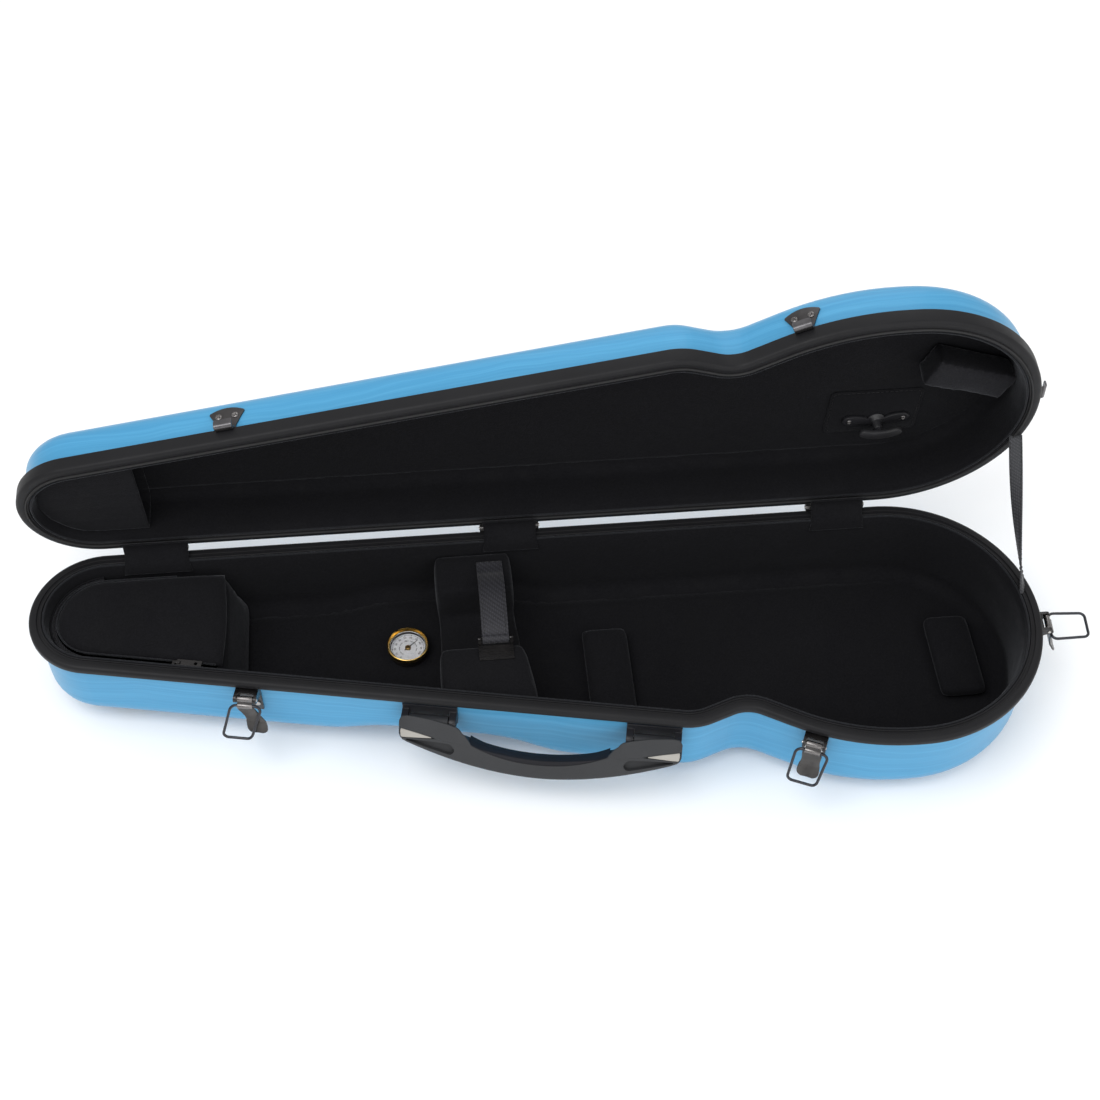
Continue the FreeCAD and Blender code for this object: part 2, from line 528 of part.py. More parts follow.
# strike plates with hook lips
for i, (m, p, n) in enumerate(LATCH):
    k = ("a", "b", "c")[i]
    P = [V(-7, 0, 15.0), V(7, 0, 15.0), V(9, 0, 20.0), V(13.5, 0, 32.0), V(0, 0, 36.0), V(-13.5, 0, 32.0), V(-9, 0, 20.0)]
    arc = Part.Arc(P[3], P[4], P[5]).toShape()
    es = [Part.LineSegment(P[j], P[j + 1]).toShape() for j in (0, 1, 2)] + [arc] + [Part.LineSegment(P[5], P[6]).toShape(), Part.LineSegment(P[6], P[0]).toShape()]
    sp_ = Part.Face(Part.Wire(es)).extrude(V(0, 1.4, 0))
    if i != 0:
        Rw = (185.0, 115.0)[i - 1] - SHELL_IN
        sp_ = sp_.fuse(Part.Face(Part.Wire(es)).extrude(V(0, -1.4, 0))).removeSplitter()
        sp_ = sp_.cut(Part.makeCylinder(Rw + 0.02, 60, V(0, -Rw, 0), V(0, 0, 1)))
    # shelf over the lid trim, down its face, out under the bail bar and up into the hook
    lip = box(-7.0, 0.2, 14.4, 7.0, 7.0, 15.6).fuse(box(-7.0, 5.8, 10.8, 7.0, 7.0, 15.6))
    lip = lip.fuse(box(-7.0, 5.8, 10.8, 7.0, 12.2, 12.0)).fuse(box(-7.0, 11.0, 10.8, 7.0, 12.2, 17.4))
    sp_ = sp_.fuse(lip).removeSplitter()
    for q in (-1, 1):
        sp_ = sp_.cut(cyl((q * 6.3, 0, 28.0), (0, 1, 0), 1.6, 10))
    lid_parts["strike_plate_" + k] = [_tr(sp_, m)]
    for q in (-1, 1):
        s = cyl((q * 6.3, 0.8, 28.0), (0, 1, 0), 1.55, 1.4).fuse(cyl((q * 6.3, 1.85, 28.0), (0, 1, 0), 2.7, 0.8)).removeSplitter()
        lid_parts.setdefault("strike_screws", []).append(_tr(s, m))

# ---------------------------------------------------------------- hinges
hb, hl_, hp, hr_b, hr_l = [], [], [], [], []
for x in HINGE_X:
    x0, x1 = x - HINGE_L / 2, x + HINGE_L / 2
    w = HINGE_L / 5.0
    kb, kl = [], []
    for j in range(5):
        a, b = x0 + j * w + 0.15, x0 + (j + 1) * w - 0.15
        kn = cyl(((a + b) / 2, HINGE_Y, HINGE_Z), (1, 0, 0), KN_R, b - a)
        if j % 2 == 0:
            kn = kn.fuse(box(a, -1.1, -8.4, b, 0.1, HINGE_Z)).fuse(box(a, -1.1, -1.6, b, HINGE_Y, HINGE_Z)).removeSplitter()
            kb.append(kn)
        else:
            kn = kn.fuse(box(a, -1.1, HINGE_Z, b, 0.1, 4.0)).fuse(box(a, -1.1, HINGE_Z, b, HINGE_Y, 1.9)).removeSplitter()
            kl.append(kn)
    # base leaf: over the trim recess, under the trim and down the shell wall
    lf = box(x0, -1.1, -8.4, x1, 0.1, -3.6)
    lf = lf.fuse(box(x0, -SHELL_IN, -8.4, x1, 0.1, -7.2)).fuse(box(x0, -SHELL_IN, -30.0, x1, -SHELL_IN + 1.2, -7.2))
    lf = fuse([lf] + kb)
    lf = lf.cut(cyl((x, HINGE_Y, HINGE_Z), (1, 0, 0), PIN_R + 0.02, 80))
    for q in (-1, 1):
        lf = lf.cut(cyl((x + q * 15, -SHELL_IN, -20.0), (0, 1, 0), 1.5, 8))
        hr_b.append(cyl((x + q * 15, -SHELL_IN + 0.6, -20.0), (0, 1, 0), 1.45, 1.2).fuse(cyl((x + q * 15, -SHELL_IN + 1.65, -20.0), (0, 1, 0), 2.6, 0.9)).removeSplitter())
    hb.append(lf)
    ll = box(x0, -1.1, 3.8, x1, 0.1, 15.4)
    ll = ll.fuse(box(x0, -SHELL_IN, 14.2, x1, 0.1, 15.4)).fuse(box(x0, -SHELL_IN, 14.2, x1, -SHELL_IN + 1.2, 32.0))
    ll = fuse([ll] + [k.fuse(box(k.BoundBox.XMin, -1.1, 1.0, k.BoundBox.XMax, 0.1, 4.2)).removeSplitter() for k in kl])
    ll = ll.cut(cyl((x, HINGE_Y, HINGE_Z), (1, 0, 0), PIN_R + 0.06, 80))
    for q in (-1, 1):
        ll = ll.cut(cyl((x + q * 15, -SHELL_IN, 24.0), (0, 1, 0), 1.5, 8))
        hr_l.append(cyl((x + q * 15, -SHELL_IN + 0.6, 24.0), (0, 1, 0), 1.45, 1.2).fuse(cyl((x + q * 15, -SHELL_IN + 1.65, 24.0), (0, 1, 0), 2.6, 0.9)).removeSplitter())
    hl_.append(ll)
    hp.append(cyl((x, HINGE_Y, HINGE_Z), (1, 0, 0), PIN_R, HINGE_L + 1.0))
# the lid trim face behind the lid leaf is milled back by the leaf thickness
lt = lid_parts["lid_trim"][0]
for x in HINGE_X:
    lt = lt.cut(box(x - HINGE_L / 2 - 0.6, -1.3, 0.0, x + HINGE_L / 2 + 0.6, 2.0, 16.0))
lid_parts["lid_trim"] = [lt]
bt = NODES["base_trim"][0]
for x in HINGE_X:
    bt = bt.cut(box(x - HINGE_L / 2 - 0.6, -1.3, -8.0, x + HINGE_L / 2 + 0.6, 2.0, 1.0))
NODES["base_trim"] = [bt]
put("hinge_leaves_base", hb)
put("hinge_pins", hp)
put("hinge_rivets_base", hr_b)
lid_parts["hinge_leaves_lid"] = hl_
lid_parts["hinge_rivets_lid"] = hr_l

for k, v in lid_parts.items():
    put(k, [lid_pose(s) for s in v])

# ---------------------------------------------------------------- pieces that cross the lid hinge
# plush hinge covers: thin strips from the lid lining over the rims to the base lining
cov = []
for x in HINGE_X:
    # section in (y, z), bridging just inside both rims, lid open
    q = lid_pose(Part.Vertex(V(x, -14.6, 2.0))).Vertexes[0].Point
    q2 = lid_pose(Part.Vertex(V(x, -12.0, -1.2))).Vertexes[0].Point
    pin_ = [(-14.6, -8.4), (-14.6, 0.9), (-9.8, 2.3), (q2.y - 0.2, q2.z - 0.6), (q.y - 0.3, q.z + 1.0)]
    a = [V(x - HINGE_L / 2, y, z) for y, z in pin_]
    b = [V(x - HINGE_L / 2, y - 0.7, z + 0.6) for y, z in reversed(pin_)]
    try:
        f = Part.Face(Part.makePolygon(a + b + [a[0]])).extrude(V(HINGE_L, 0, 0))
        cov.append(f)
    except Exception as ex:
        print("cover", ex)
put("hinge_covers", cov)

# stay strap from the lid rim to the base rim near the wide end
A = lid_pose(Part.Vertex(V(362.0, -78.0, -1.9))).Vertexes[0].Point
B = V(359.6, -103.0, -2.0)
Ls = (A - B).Length
dn = A - B
dn.normalize()
wA = V(1, 0, 0) - dn * dn.x
wA.normalize()
tA = dn.cross(wA)


def strap_rect(c, w, t):
    P = [c + w * (sx * 5.0) + t * (sy * 0.6) for sx, sy in ((-1, -1), (1, -1), (1, 1), (-1, 1))]
    return Part.makePolygon(P + [P[0]])


# the strap is twisted a quarter turn between the lid rim and the base wall
secs = []
for j in range(5):
    a = math.radians(-80.0 * (1 - j / 4.0))
    w = wA * math.cos(a) + tA * math.sin(a)
    t = tA * math.cos(a) - wA * math.sin(a)
    secs.append(strap_rect(B + dn * (Ls * j / 4.0), w, t))
ss = Part.makeLoft(secs, True, True)
put("stay_strap", ss)

# ---------------------------------------------------------------- write
total = None
bb = FreeCAD.BoundBox()
for k, shapes in NODES.items():
    out = []
    for s in shapes:
        s = s.copy()
        s.translate(SHIFT)
        for so_ in s.Solids:
            out.append(so_)
    if not out:
        print("EMPTY", k)
        continue
    for so_ in out:
        bb.add(so_.optimalBoundingBox(False, False))
        if not so_.isValid():
            print("INVALID", k)
    shp = out[0] if len(out) == 1 else Part.makeCompound(out)
    shp.exportStep("parts/%s.step" % k)
print("nodes", len(NODES))
print("bbox", bb)
for k, v in JO.items():
    print(k, [tuple(round(c, 3) for c in ((q + SHIFT) if j < 2 and not (k == "handle" and j == 1) else q)) for j, q in enumerate(v)])
print("paddle closed", PAD_C, "open", lid_pose(Part.Vertex(PAD_C)).Vertexes[0].Point + SHIFT)
print("slider", sl + SHIFT, "fdir", fdir, "fn", fn, "HX", V(HX, HY, hz) + SHIFT, "bar", V(-51.5, BAR_Y, BAR_Z) + SHIFT)
print("hinge", V(0, HINGE_Y, HINGE_Z) + SHIFT)
print("strap A,B", A + SHIFT, B + SHIFT, Ls)
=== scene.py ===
import bpy, bmesh, math
import numpy as np
from mathutils import Vector, Matrix, noise


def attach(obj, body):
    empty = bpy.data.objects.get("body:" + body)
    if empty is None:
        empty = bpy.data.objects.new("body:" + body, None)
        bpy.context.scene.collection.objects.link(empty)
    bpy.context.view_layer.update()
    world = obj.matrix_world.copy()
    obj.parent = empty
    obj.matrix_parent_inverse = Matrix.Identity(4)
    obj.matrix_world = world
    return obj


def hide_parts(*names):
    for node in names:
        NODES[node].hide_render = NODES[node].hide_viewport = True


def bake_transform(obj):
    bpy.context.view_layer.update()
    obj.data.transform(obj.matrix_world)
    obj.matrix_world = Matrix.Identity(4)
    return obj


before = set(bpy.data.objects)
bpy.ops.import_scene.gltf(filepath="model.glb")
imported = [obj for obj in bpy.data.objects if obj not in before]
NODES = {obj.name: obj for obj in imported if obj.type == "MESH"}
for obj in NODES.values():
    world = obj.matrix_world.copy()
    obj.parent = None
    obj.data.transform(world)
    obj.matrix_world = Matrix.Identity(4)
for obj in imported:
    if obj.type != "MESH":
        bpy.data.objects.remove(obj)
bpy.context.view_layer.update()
scene = bpy.context.scene

# ------------------------------------------------------------------ camera
cam = bpy.data.cameras.new("Camera")
cam.lens, cam.sensor_width, cam.clip_start, cam.clip_end = 57.1, 36.0, 0.05, 30.0
camo = bpy.data.objects.new("Camera", cam)
scene.collection.objects.link(camo)
R_ = Vector((0.99590509, -0.08981537, 0.0103078)); U_ = Vector((0.06469118, 0.78763995, 0.61273026)); B_ = Vector((-0.06315142, -0.60955436, 0.79022489))
camo.matrix_world = Matrix(((R_.x, U_.x, B_.x, -0.09254), (R_.y, U_.y, B_.y, -0.78572), (R_.z, U_.z, B_.z, 1.19152), (0, 0, 0, 1)))
scene.camera = camo

# ------------------------------------------------------------------ design numbers (mm, same as the CAD)
SX, SY, SZ = -2.13, 91.93, 86.0
X0, X1, Y1 = -411.5, 376.0, -225.3
POLY = [((X0, 0.0), 57.0), ((X1, 0.0), 110.0), ((X1, Y1), 115.0), ((207.1, Y1), 185.0), ((133.4, -184.0), -25.0), ((94.3, -198.1), 45.0), ((X0, -101.25), 53.0)]
HINGE_X = (-314.5, -33.0, 234.0)
HY, HZ = 1.8, 0.25
CEIL = 41.55


def D(p):
    return Vector(((p[0] + SX) / 1000, (p[1] + SY) / 1000, (p[2] + SZ) / 1000))


CA, SA = math.cos(math.radians(-85)), math.sin(math.radians(-85))


def LD(p):
    y, z = p[1] - HY, p[2] - HZ
    return D((p[0], HY + y * CA - z * SA, HZ + y * SA + z * CA))


def norm2(x, y):
    l = math.hypot(x, y)
    return x / l, y / l


def insetp(d):
    n, L, out = len(POLY), [], []
    for i in range(n):
        (a, b), _ = POLY[i]
        (c, e), _ = POLY[(i + 1) % n]
        tx, ty = norm2(c - a, e - b)
        L.append((a + ty * d, b - tx * d, tx, ty))
    for i in range(n):
        x1, y1, ax, ay = L[i - 1]
        x2, y2, bx, by = L[i]
        det = ax * by - ay * bx
        s = ((x2 - x1) * by - (y2 - y1) * bx) / det
        out.append(((x1 + ax * s, y1 + ay * s), POLY[i][1] - d))
    return out


HXS = sorted([x for h in HINGE_X for x in (h - 24.66, h - 24.6, h + 24.6, h + 24.66)] + [-345, -300, -280, -265] + list(range(-250, -60, 10)) + [-45, -33, -20, -5] + list(range(5, 209, 10)) + [222, 234, 246])


def outline(d):
    """[(x, y, nx, ny)] of the rim outline inset by d; every d has the same number of points."""
    P, n, out, seg = insetp(d), len(POLY), [], []
    for i in range(n):
        (x, y), r = P[i]
        (xp, yp), _ = P[i - 1]
        (xn, yn), _ = P[(i + 1) % n]
        ux, uy = norm2(xp - x, yp - y); wx, wy = norm2(xn - x, yn - y)
        half = math.acos(max(-1, min(1, ux * wx + uy * wy))) / 2
        R = abs(r); t = R / math.tan(half)
        bx, by = norm2(ux + wx, uy + wy)
        cx, cy = x + bx * R / math.sin(half), y + by * R / math.sin(half)
        a = (x + ux * t, y + uy * t); b = (x + wx * t, y + wy * t)
        seg.append((a, b, (cx, cy), R, r > 0, math.pi - 2 * half))
    for i in range(n):
        a, b, c, R, convex, turn = seg[i]
        a0 = math.atan2(a[1] - c[1], a[0] - c[0]); a1 = math.atan2(b[1] - c[1], b[0] - c[0])
        da = (a1 - a0 + math.pi) % (2 * math.pi) - math.pi
        k = max(6, int(round(math.degrees(turn) / 2.5)))
        for j in range(k + 1):
            q = a0 + da * j / k
            s = 1 if convex else -1
            out.append((c[0] + R * math.cos(q), c[1] + R * math.sin(q), s * math.cos(q), s * math.sin(q)))
        nx = seg[(i + 1) % n][0]
        if i == 0:
            for x in HXS:
                if b[0] + 1 < x < nx[0] - 1:
                    out.append((x, b[1], 0.0, 1.0))
        else:
            L0 = math.hypot(nx[0] - b[0], nx[1] - b[1])
            (pa, _), (pb, _) = POLY[i], POLY[(i + 1) % n]
            ms = {0: 0, 1: 2, 2: 8, 3: 2, 4: 2, 5: 60, 6: 3}[i]
            tx, ty = norm2(nx[0] - b[0], nx[1] - b[1])
            for j in range(1, ms):
                k_ = j / ms
                out.append((b[0] + (nx[0] - b[0]) * k_, b[1] + (nx[1] - b[1]) * k_, -ty, tx))
    return out


def hinge_zone(x, nx, ny):
    return ny > 0.999 and any(abs(x - h) < 24.63 for h in HINGE_X)


def rounded(pts, closed=True, seg=4):
    """2D polyline with rounded corners: [(a, b, r)]."""
    out, n = [], len(pts)
    for i in range(n):
        a, b, r = pts[i]
        if r <= 0 or (not closed and i in (0, n - 1)):
            out.append((a, b)); continue
        p, q = pts[i - 1], pts[(i + 1) % n]
        ux, uy = norm2(p[0] - a, p[1] - b); wx, wy = norm2(q[0] - a, q[1] - b)
        c = max(-0.9999, min(0.9999, ux * wx + uy * wy)); half = math.acos(c) / 2
        if ux * wx + uy * wy < -0.9985:
            t = min(r, 0.45 * math.hypot(p[0] - a, p[1] - b), 0.45 * math.hypot(q[0] - a, q[1] - b))
            for j in range(seg + 1):
                g = 2 * j / seg - 1
                out.append((a - ux * t * g, b - uy * t * g) if g < 0 else (a + wx * t * g, b + wy * t * g))
            continue
        t = r / math.tan(half)
        t = min(t, 0.49 * math.hypot(p[0] - a, p[1] - b), 0.49 * math.hypot(q[0] - a, q[1] - b)); r = t * math.tan(half)
        mx, my = norm2(ux + wx, uy + wy)
        cx, cy = a + mx * r / math.sin(half), b + my * r / math.sin(half)
        s = math.atan2(b + uy * t - cy, a + ux * t - cx); e = math.atan2(b + wy * t - cy, a + wx * t - cx)
        da = (e - s + math.pi) % (2 * math.pi) - math.pi
        for j in range(seg + 1):
            g = s + da * j / seg
            out.append((cx + r * math.cos(g), cy + r * math.sin(g)))
    return out


_prof = None


def underz(x):
    global _prof
    if _prof is None:
        pts = [(-470.0, -74.0, 0), (-175.0, -74.0, 90.0), (-140.0, -63.5, 90.0), (-48.0, -63.5, 90.0), (-8.0, -80.0, 90.0), (440.0, -80.0, 0)]
        r = rounded(pts, False, 10)
        _prof = (np.array([p[0] for p in r]), np.array([p[1] for p in r]))
    return float(np.interp(x, _prof[0], _prof[1]))


# ------------------------------------------------------------------ mesh helpers
def obj_from(name, verts, faces, smooth=True, mat=None, body="base"):
    me = bpy.data.meshes.new(name)
    me.from_pydata([tuple(v) for v in verts], [], faces)
    me.validate()
    bm = bmesh.new(); bm.from_mesh(me)
    bmesh.ops.recalc_face_normals(bm, faces=bm.faces)
    bm.to_mesh(me); bm.free()
    for p in me.polygons:
        p.use_smooth = smooth
    o = bpy.data.objects.new(name, me)
    scene.collection.objects.link(o)
    if mat:
        me.materials.append(mat)
    return o


def sharp(o, deg=35):
    """mark sharp edges by angle so smooth shading keeps crisp lines"""
    bm = bmesh.new(); bm.from_mesh(o.data)
    for e in bm.edges:
        if len(e.link_faces) == 2 and e.calc_face_angle(0) > math.radians(deg):
            e.smooth = False
    bm.to_mesh(o.data); bm.free()
    return o


def flipcheck(o, want):
    """want(face centre) -> outward direction; flips the whole mesh if most faces disagree"""
    s = 0
    for p in list(o.data.polygons)[::7]:
        s += p.normal.dot(want(p.center))
    if s < 0:
        o.data.flip_normals()
    return o


def mod(o, kind, **kw):
    m = o.modifiers.new(kind.title(), kind)
    for k, v in kw.items():
        setattr(m, k, v)
    return m


def apply_mods(o):
    dg = bpy.context.evaluated_depsgraph_get()
    me = bpy.data.meshes.new_from_object(o.evaluated_get(dg), depsgraph=dg)
    mats = [m for m in o.data.materials]
    o.modifiers.clear()
    o.data = me
    if not len(me.materials):
        for m in mats:
            me.materials.append(m)
    return o


def sweep_rows(name, rows, xf, closed_profile, clamp=False, mat=None, zfun=None):
    """rows: [(d, z)] profile; z may be a function of x. Returns the object."""
    verts, faces, n = [], [], None
    for d, z in rows:
        O = outline(d)
        n = len(O)
        for x, y, nx, ny in O:
            if clamp and hinge_zone(x, nx, ny):
                y = min(y, -1.3)
            zz = z(x) if callable(z) else z
            verts.append(xf((x, y, zz)))
    m = len(rows)
    for i in range(m if closed_profile else m - 1):
        a, b = i * n, ((i + 1) % m) * n
        for j in range(n):
            k = (j + 1) % n
            faces.append((a + j, a + k, b + k, b + j))
    return obj_from(name, verts, faces, mat=mat), n


def tube(name, pts, r, seg=10, closed=False, mat=None, radii=None):
    """mesh tube along points (mm already mapped to metres)"""
    P = [Vector(p) for p in pts]; n = len(P)
    verts, faces = [], []
    up = None
    for i in range(n):
        t = (P[(i + 1) % n] - P[i - 1]) if closed else (P[min(i + 1, n - 1)] - P[max(i - 1, 0)])
        t.normalize()
        if up is None:
            up = t.orthogonal()
        up = (up - t * up.dot(t)).normalized()
        s = t.cross(up)
        rr = radii[i] if radii else r
        for j in range(seg):
            a = 2 * math.pi * j / seg
            verts.append(P[i] + (up * math.cos(a) + s * math.sin(a)) * rr)
    m = n if closed else n - 1
    for i in range(m):
        a, b = i * seg, ((i + 1) % n) * seg
        # keep rings aligned where a closed tube meets itself
        off = 0
        if closed and i == n - 1:
            d = [(verts[a] - verts[b + q]).length for q in range(seg)]
            off = d.index(min(d))
        for j in range(seg):
            k = (j + 1) % seg
            faces.append((a + j, a + k, b + (k + off) % seg, b + (j + off) % seg))
    if not closed:
        faces.append(tuple(range(seg))[::-1]); faces.append(tuple((n - 1) * seg + j for j in range(seg)))
    return obj_from(name, verts, faces, mat=mat)


def catmull(P, n=8, closed=False):
    P = [Vector(p) for p in P]; out = []; m = len(P)
    rng = range(m) if closed else range(m - 1)
    for i in rng:
        a = P[(i - 1) % m] if (closed or i > 0) else P[0] * 2 - P[1]
        b, c = P[i], P[(i + 1) % m]
        d = P[(i + 2) % m] if (closed or i + 2 < m) else P[-1] * 2 - P[-2]
        for j in range(n):
            t = j / n
            out.append(0.5 * ((2 * b) + (c - a) * t + (2 * a - 5 * b + 4 * c - d) * t * t + (3 * b - 3 * c + d - a) * t ** 3))
    if not closed:
        out.append(P[-1])
    return out


def join(name, objs, mat=None):
    """joins mesh objects into one named piece, keeping materials"""
    verts, faces, mats, midx, smooth, off = [], [], [], [], [], 0
    for o in objs:
        me = o.data
        ms = list(me.materials)
        for m in ms:
            if m not in mats:
                mats.append(m)
        for v in me.vertices:
            verts.append(o.matrix_world @ v.co)
        for p in me.polygons:
            faces.append(tuple(off + i for i in p.vertices)); smooth.append(p.use_smooth)
            midx.append(mats.index(ms[p.material_index]) if ms else 0)
        off += len(me.vertices)
    me = bpy.data.meshes.new(name)
    me.from_pydata([tuple(v) for v in verts], [], faces)
    for m in (mats or ([mat] if mat else [])):
        me.materials.append(m)
    for p, i, s in zip(me.polygons, midx, smooth):
        p.material_index = i; p.use_smooth = s
    o = bpy.data.objects.new(name, me)
    scene.collection.objects.link(o)
    for q in objs:
        bpy.data.objects.remove(q)
    return o


# ------------------------------------------------------------------ materials
def srgb(r, g, b):
    f = lambda c: (c / 255 / 12.92) if c <= 10 else ((c / 255 + 0.055) / 1.055) ** 2.4
    return (f(r), f(g), f(b), 1.0)


class Mat:
    def __init__(self, name, rough=0.5, metal=0.0, sheen=0.0, sheen_rough=0.5, coat=0.0, coat_rough=0.1, ior=1.5, spec=0.5, trans=0.0, sheen_tint=None):
        self.m = bpy.data.materials.new(name)
        self.m.use_nodes = True
        self.t = self.m.node_tree
        self.t.nodes.clear()
        self.out = self.t.nodes.new("ShaderNodeOutputMaterial")
        self.b = self.t.nodes.new("ShaderNodeBsdfPrincipled")
        self.t.links.new(self.b.outputs[0], self.out.inputs[0])
        i = self.b.inputs
        i["Roughness"].default_value = rough; i["Metallic"].default_value = metal
        i["Sheen Weight"].default_value = sheen; i["Sheen Roughness"].default_value = sheen_rough
        if sheen_tint:
            i["Sheen Tint"].default_value = sheen_tint
        i["Coat Weight"].default_value = coat; i["Coat Roughness"].default_value = coat_rough
        i["IOR"].default_value = ior; i["Specular IOR Level"].default_value = spec
        i["Transmission Weight"].default_value = trans
        self.co = self.t.nodes.new("ShaderNodeTexCoord").outputs["Object"]

    def n(self, kind, **kw):
        nd = self.t.nodes.new(kind)
        for k, v in kw.items():
            setattr(nd, k, v)
        return nd

    def link(self, a, b):
        self.t.links.new(a, b)

    def mapping(self, scale=(1, 1, 1), rot=(0, 0, 0), loc=(0, 0, 0), vec=None):
        m = self.n("ShaderNodeMapping")
        m.inputs["Scale"].default_value = scale; m.inputs["Rotation"].default_value = rot; m.inputs["Location"].default_value = loc
        self.link(vec or self.co, m.inputs["Vector"])
        return m.outputs[0]

    def noise(self, scale, detail=4, rough=0.55, dist=0.0, vec=None):
        t = self.n("ShaderNodeTexNoise")
        t.inputs["Scale"].default_value = scale; t.inputs["Detail"].default_value = detail
        t.inputs["Roughness"].default_value = rough; t.inputs["Distortion"].default_value = dist
        self.link(vec or self.co, t.inputs["Vector"])
        return t.outputs["Fac"]

    def ramp(self, fac, stops):
        r = self.n("ShaderNodeValToRGB")
        e = r.color_ramp.elements
        while len(e) < len(stops):
            e.new(0.5)
        for el, (p, c) in zip(e, stops):
            el.position = p; el.color = c
        self.link(fac, r.inputs[0])
        return r.outputs[0]

    def mixc(self, fac, a, b, blend="MIX"):
        m = self.n("ShaderNodeMix", data_type="RGBA", blend_type=blend)
        if isinstance(fac, float):
            m.inputs[0].default_value = fac
        else:
            self.link(fac, m.inputs[0])
        for s, v in ((6, a), (7, b)):
            if isinstance(v, tuple):
                m.inputs[s].default_value = v
            else:
                self.link(v, m.inputs[s])
        return m.outputs[2]

    def math(self, op, a, b=0.0, c=None, clamp=False):
        m = self.n("ShaderNodeMath", operation=op, use_clamp=clamp)
        for k, v in enumerate((a, b, c)):
            if v is None:
                continue
            if isinstance(v, (int, float)):
                m.inputs[k].default_value = v
            else:
                self.link(v, m.inputs[k])
        return m.outputs[0]

    def rng(self, v, a, b, c, d):
        m = self.n("ShaderNodeMapRange")
        m.inputs[1].default_value = a; m.inputs[2].default_value = b; m.inputs[3].default_value = c; m.inputs[4].default_value = d
        self.link(v, m.inputs[0])
        return m.outputs[0]

    def color(self, c):
        self.link(c, self.b.inputs["Base Color"])

    def rough(self, r):
        self.link(r, self.b.inputs["Roughness"])

    def bump(self, h, strength, dist, prev=None):
        b = self.n("ShaderNodeBump")
        b.inputs["Strength"].default_value = strength; b.inputs["Distance"].default_value = dist
        self.link(h, b.inputs["Height"])
        if prev:
            self.link(prev, b.inputs["Normal"])
        self.last = b.outputs[0]
        self.link(self.last, self.b.inputs["Normal"])
        return self.last


def mat_shell(name, rot):
    """sky-blue lacquered shell with a fine brushed wood-grain film"""
    M = Mat(name, rough=0.34, coat=0.10, coat_rough=0.12, spec=0.22)
    base = M.mapping((1, 1, 1), rot)
    warp = M.noise(5.0, 3, 0.5, vec=base)
    w = M.n("ShaderNodeVectorMath", operation="MULTIPLY_ADD")
    cx = M.n("ShaderNodeCombineXYZ"); M.link(warp, cx.inputs[2]); M.link(warp, cx.inputs[1])
    M.link(cx.outputs[0], w.inputs[0]); w.inputs[1].default_value = (0, 0.02, 0.045); M.link(base, w.inputs[2])
    streak_v = M.mapping((6, 6, 420), vec=w.outputs[0])
    s1 = M.noise(1.0, 6, 0.62, vec=streak_v)
    s2 = M.noise(1.0, 3, 0.5, vec=M.mapping((2.2, 2.2, 70), vec=w.outputs[0]))
    big = M.noise(3.0, 2, 0.5, vec=base)
    c = M.ramp(s1, [(0.30, srgb(63, 138, 182)), (0.48, srgb(71, 146, 189)), (0.66, srgb(84, 159, 201))])
    c2 = M.ramp(s2, [(0.35, srgb(66, 141, 185)), (0.65, srgb(79, 154, 196))])
    col = M.mixc(0.35, c, c2)
    col = M.mixc(M.rng(big, 0.3, 0.7, 0.0, 0.18), col, srgb(85, 160, 200))
    M.color(col)
    M.rough(M.rng(s1, 0.2, 0.8, 0.26, 0.42))
    M.bump(s1, 0.25, 0.0004)
    return M.m


def mat_plastic(name, c, c2, rough, grain=1600, bump=0.12, coat=0.0, spec=0.5, wear=True):
    M = Mat(name, rough=rough, coat=coat, coat_rough=0.25, spec=spec)
    g = M.noise(grain, 3, 0.6)
    b = M.noise(14, 4, 0.6)
    sm = M.noise(120, 4, 0.65)
    col = M.mixc(M.rng(b, 0.3, 0.7, 0.0, 1.0), c, c2)
    if wear:
        col = M.mixc(M.rng(sm, 0.62, 0.8, 0.0, 0.12), col, tuple(min(1, x * 1.9) for x in c2[:3]) + (1,))
    M.color(col)
    M.rough(M.rng(sm, 0.25, 0.75, rough - 0.05, rough + 0.08))
    M.bump(g, bump, 0.0002)
    return M.m


def mat_plush(name, lo, hi, sheen=0.35, dens=2400, tint=(0.75, 0.78, 0.85, 1)):
    """short-pile velour: fine fibre grain; slow lighter and darker patches where the pile lies differently are painted
    sheen in the colour
    """
    M = Mat(name, rough=0.95, sheen=sheen, sheen_rough=0.35, spec=0.15, sheen_tint=tint)
    fib = M.noise(dens, 2, 0.7)
    fib2 = M.noise(700, 4, 0.7)
    nap_painted_sheen = M.noise(9, 4, 0.55, 0.8)
    nap_fine_painted_sheen = M.noise(38, 3, 0.6, 0.4)
    f = M.math("ADD", M.math("MULTIPLY", nap_painted_sheen, 0.55), M.math("MULTIPLY", nap_fine_painted_sheen, 0.45))
    # painted sheen: the two nap noises mix the dark and light pile colours into patches that stand in for the pile
    # catching the light
    c = M.mixc(M.rng(f, 0.36, 0.64, 0.0, 1.0), lo, hi)
    c = M.mixc(M.rng(fib, 0.3, 0.75, 0.0, 0.75), c, tuple(x * 2.3 for x in hi[:3]) + (1,))
    c = M.mixc(M.rng(fib2, 0.35, 0.7, 0.55, 0.0), c, tuple(x * 0.35 for x in lo[:3]) + (1,))
    M.color(c)
    M.rough(M.rng(nap_fine_painted_sheen, 0.3, 0.7, 0.82, 1.0))
    n1 = M.bump(fib2, 0.45, 0.0006)
    M.bump(fib, 0.5, 0.0003, prev=n1)
    return M.m


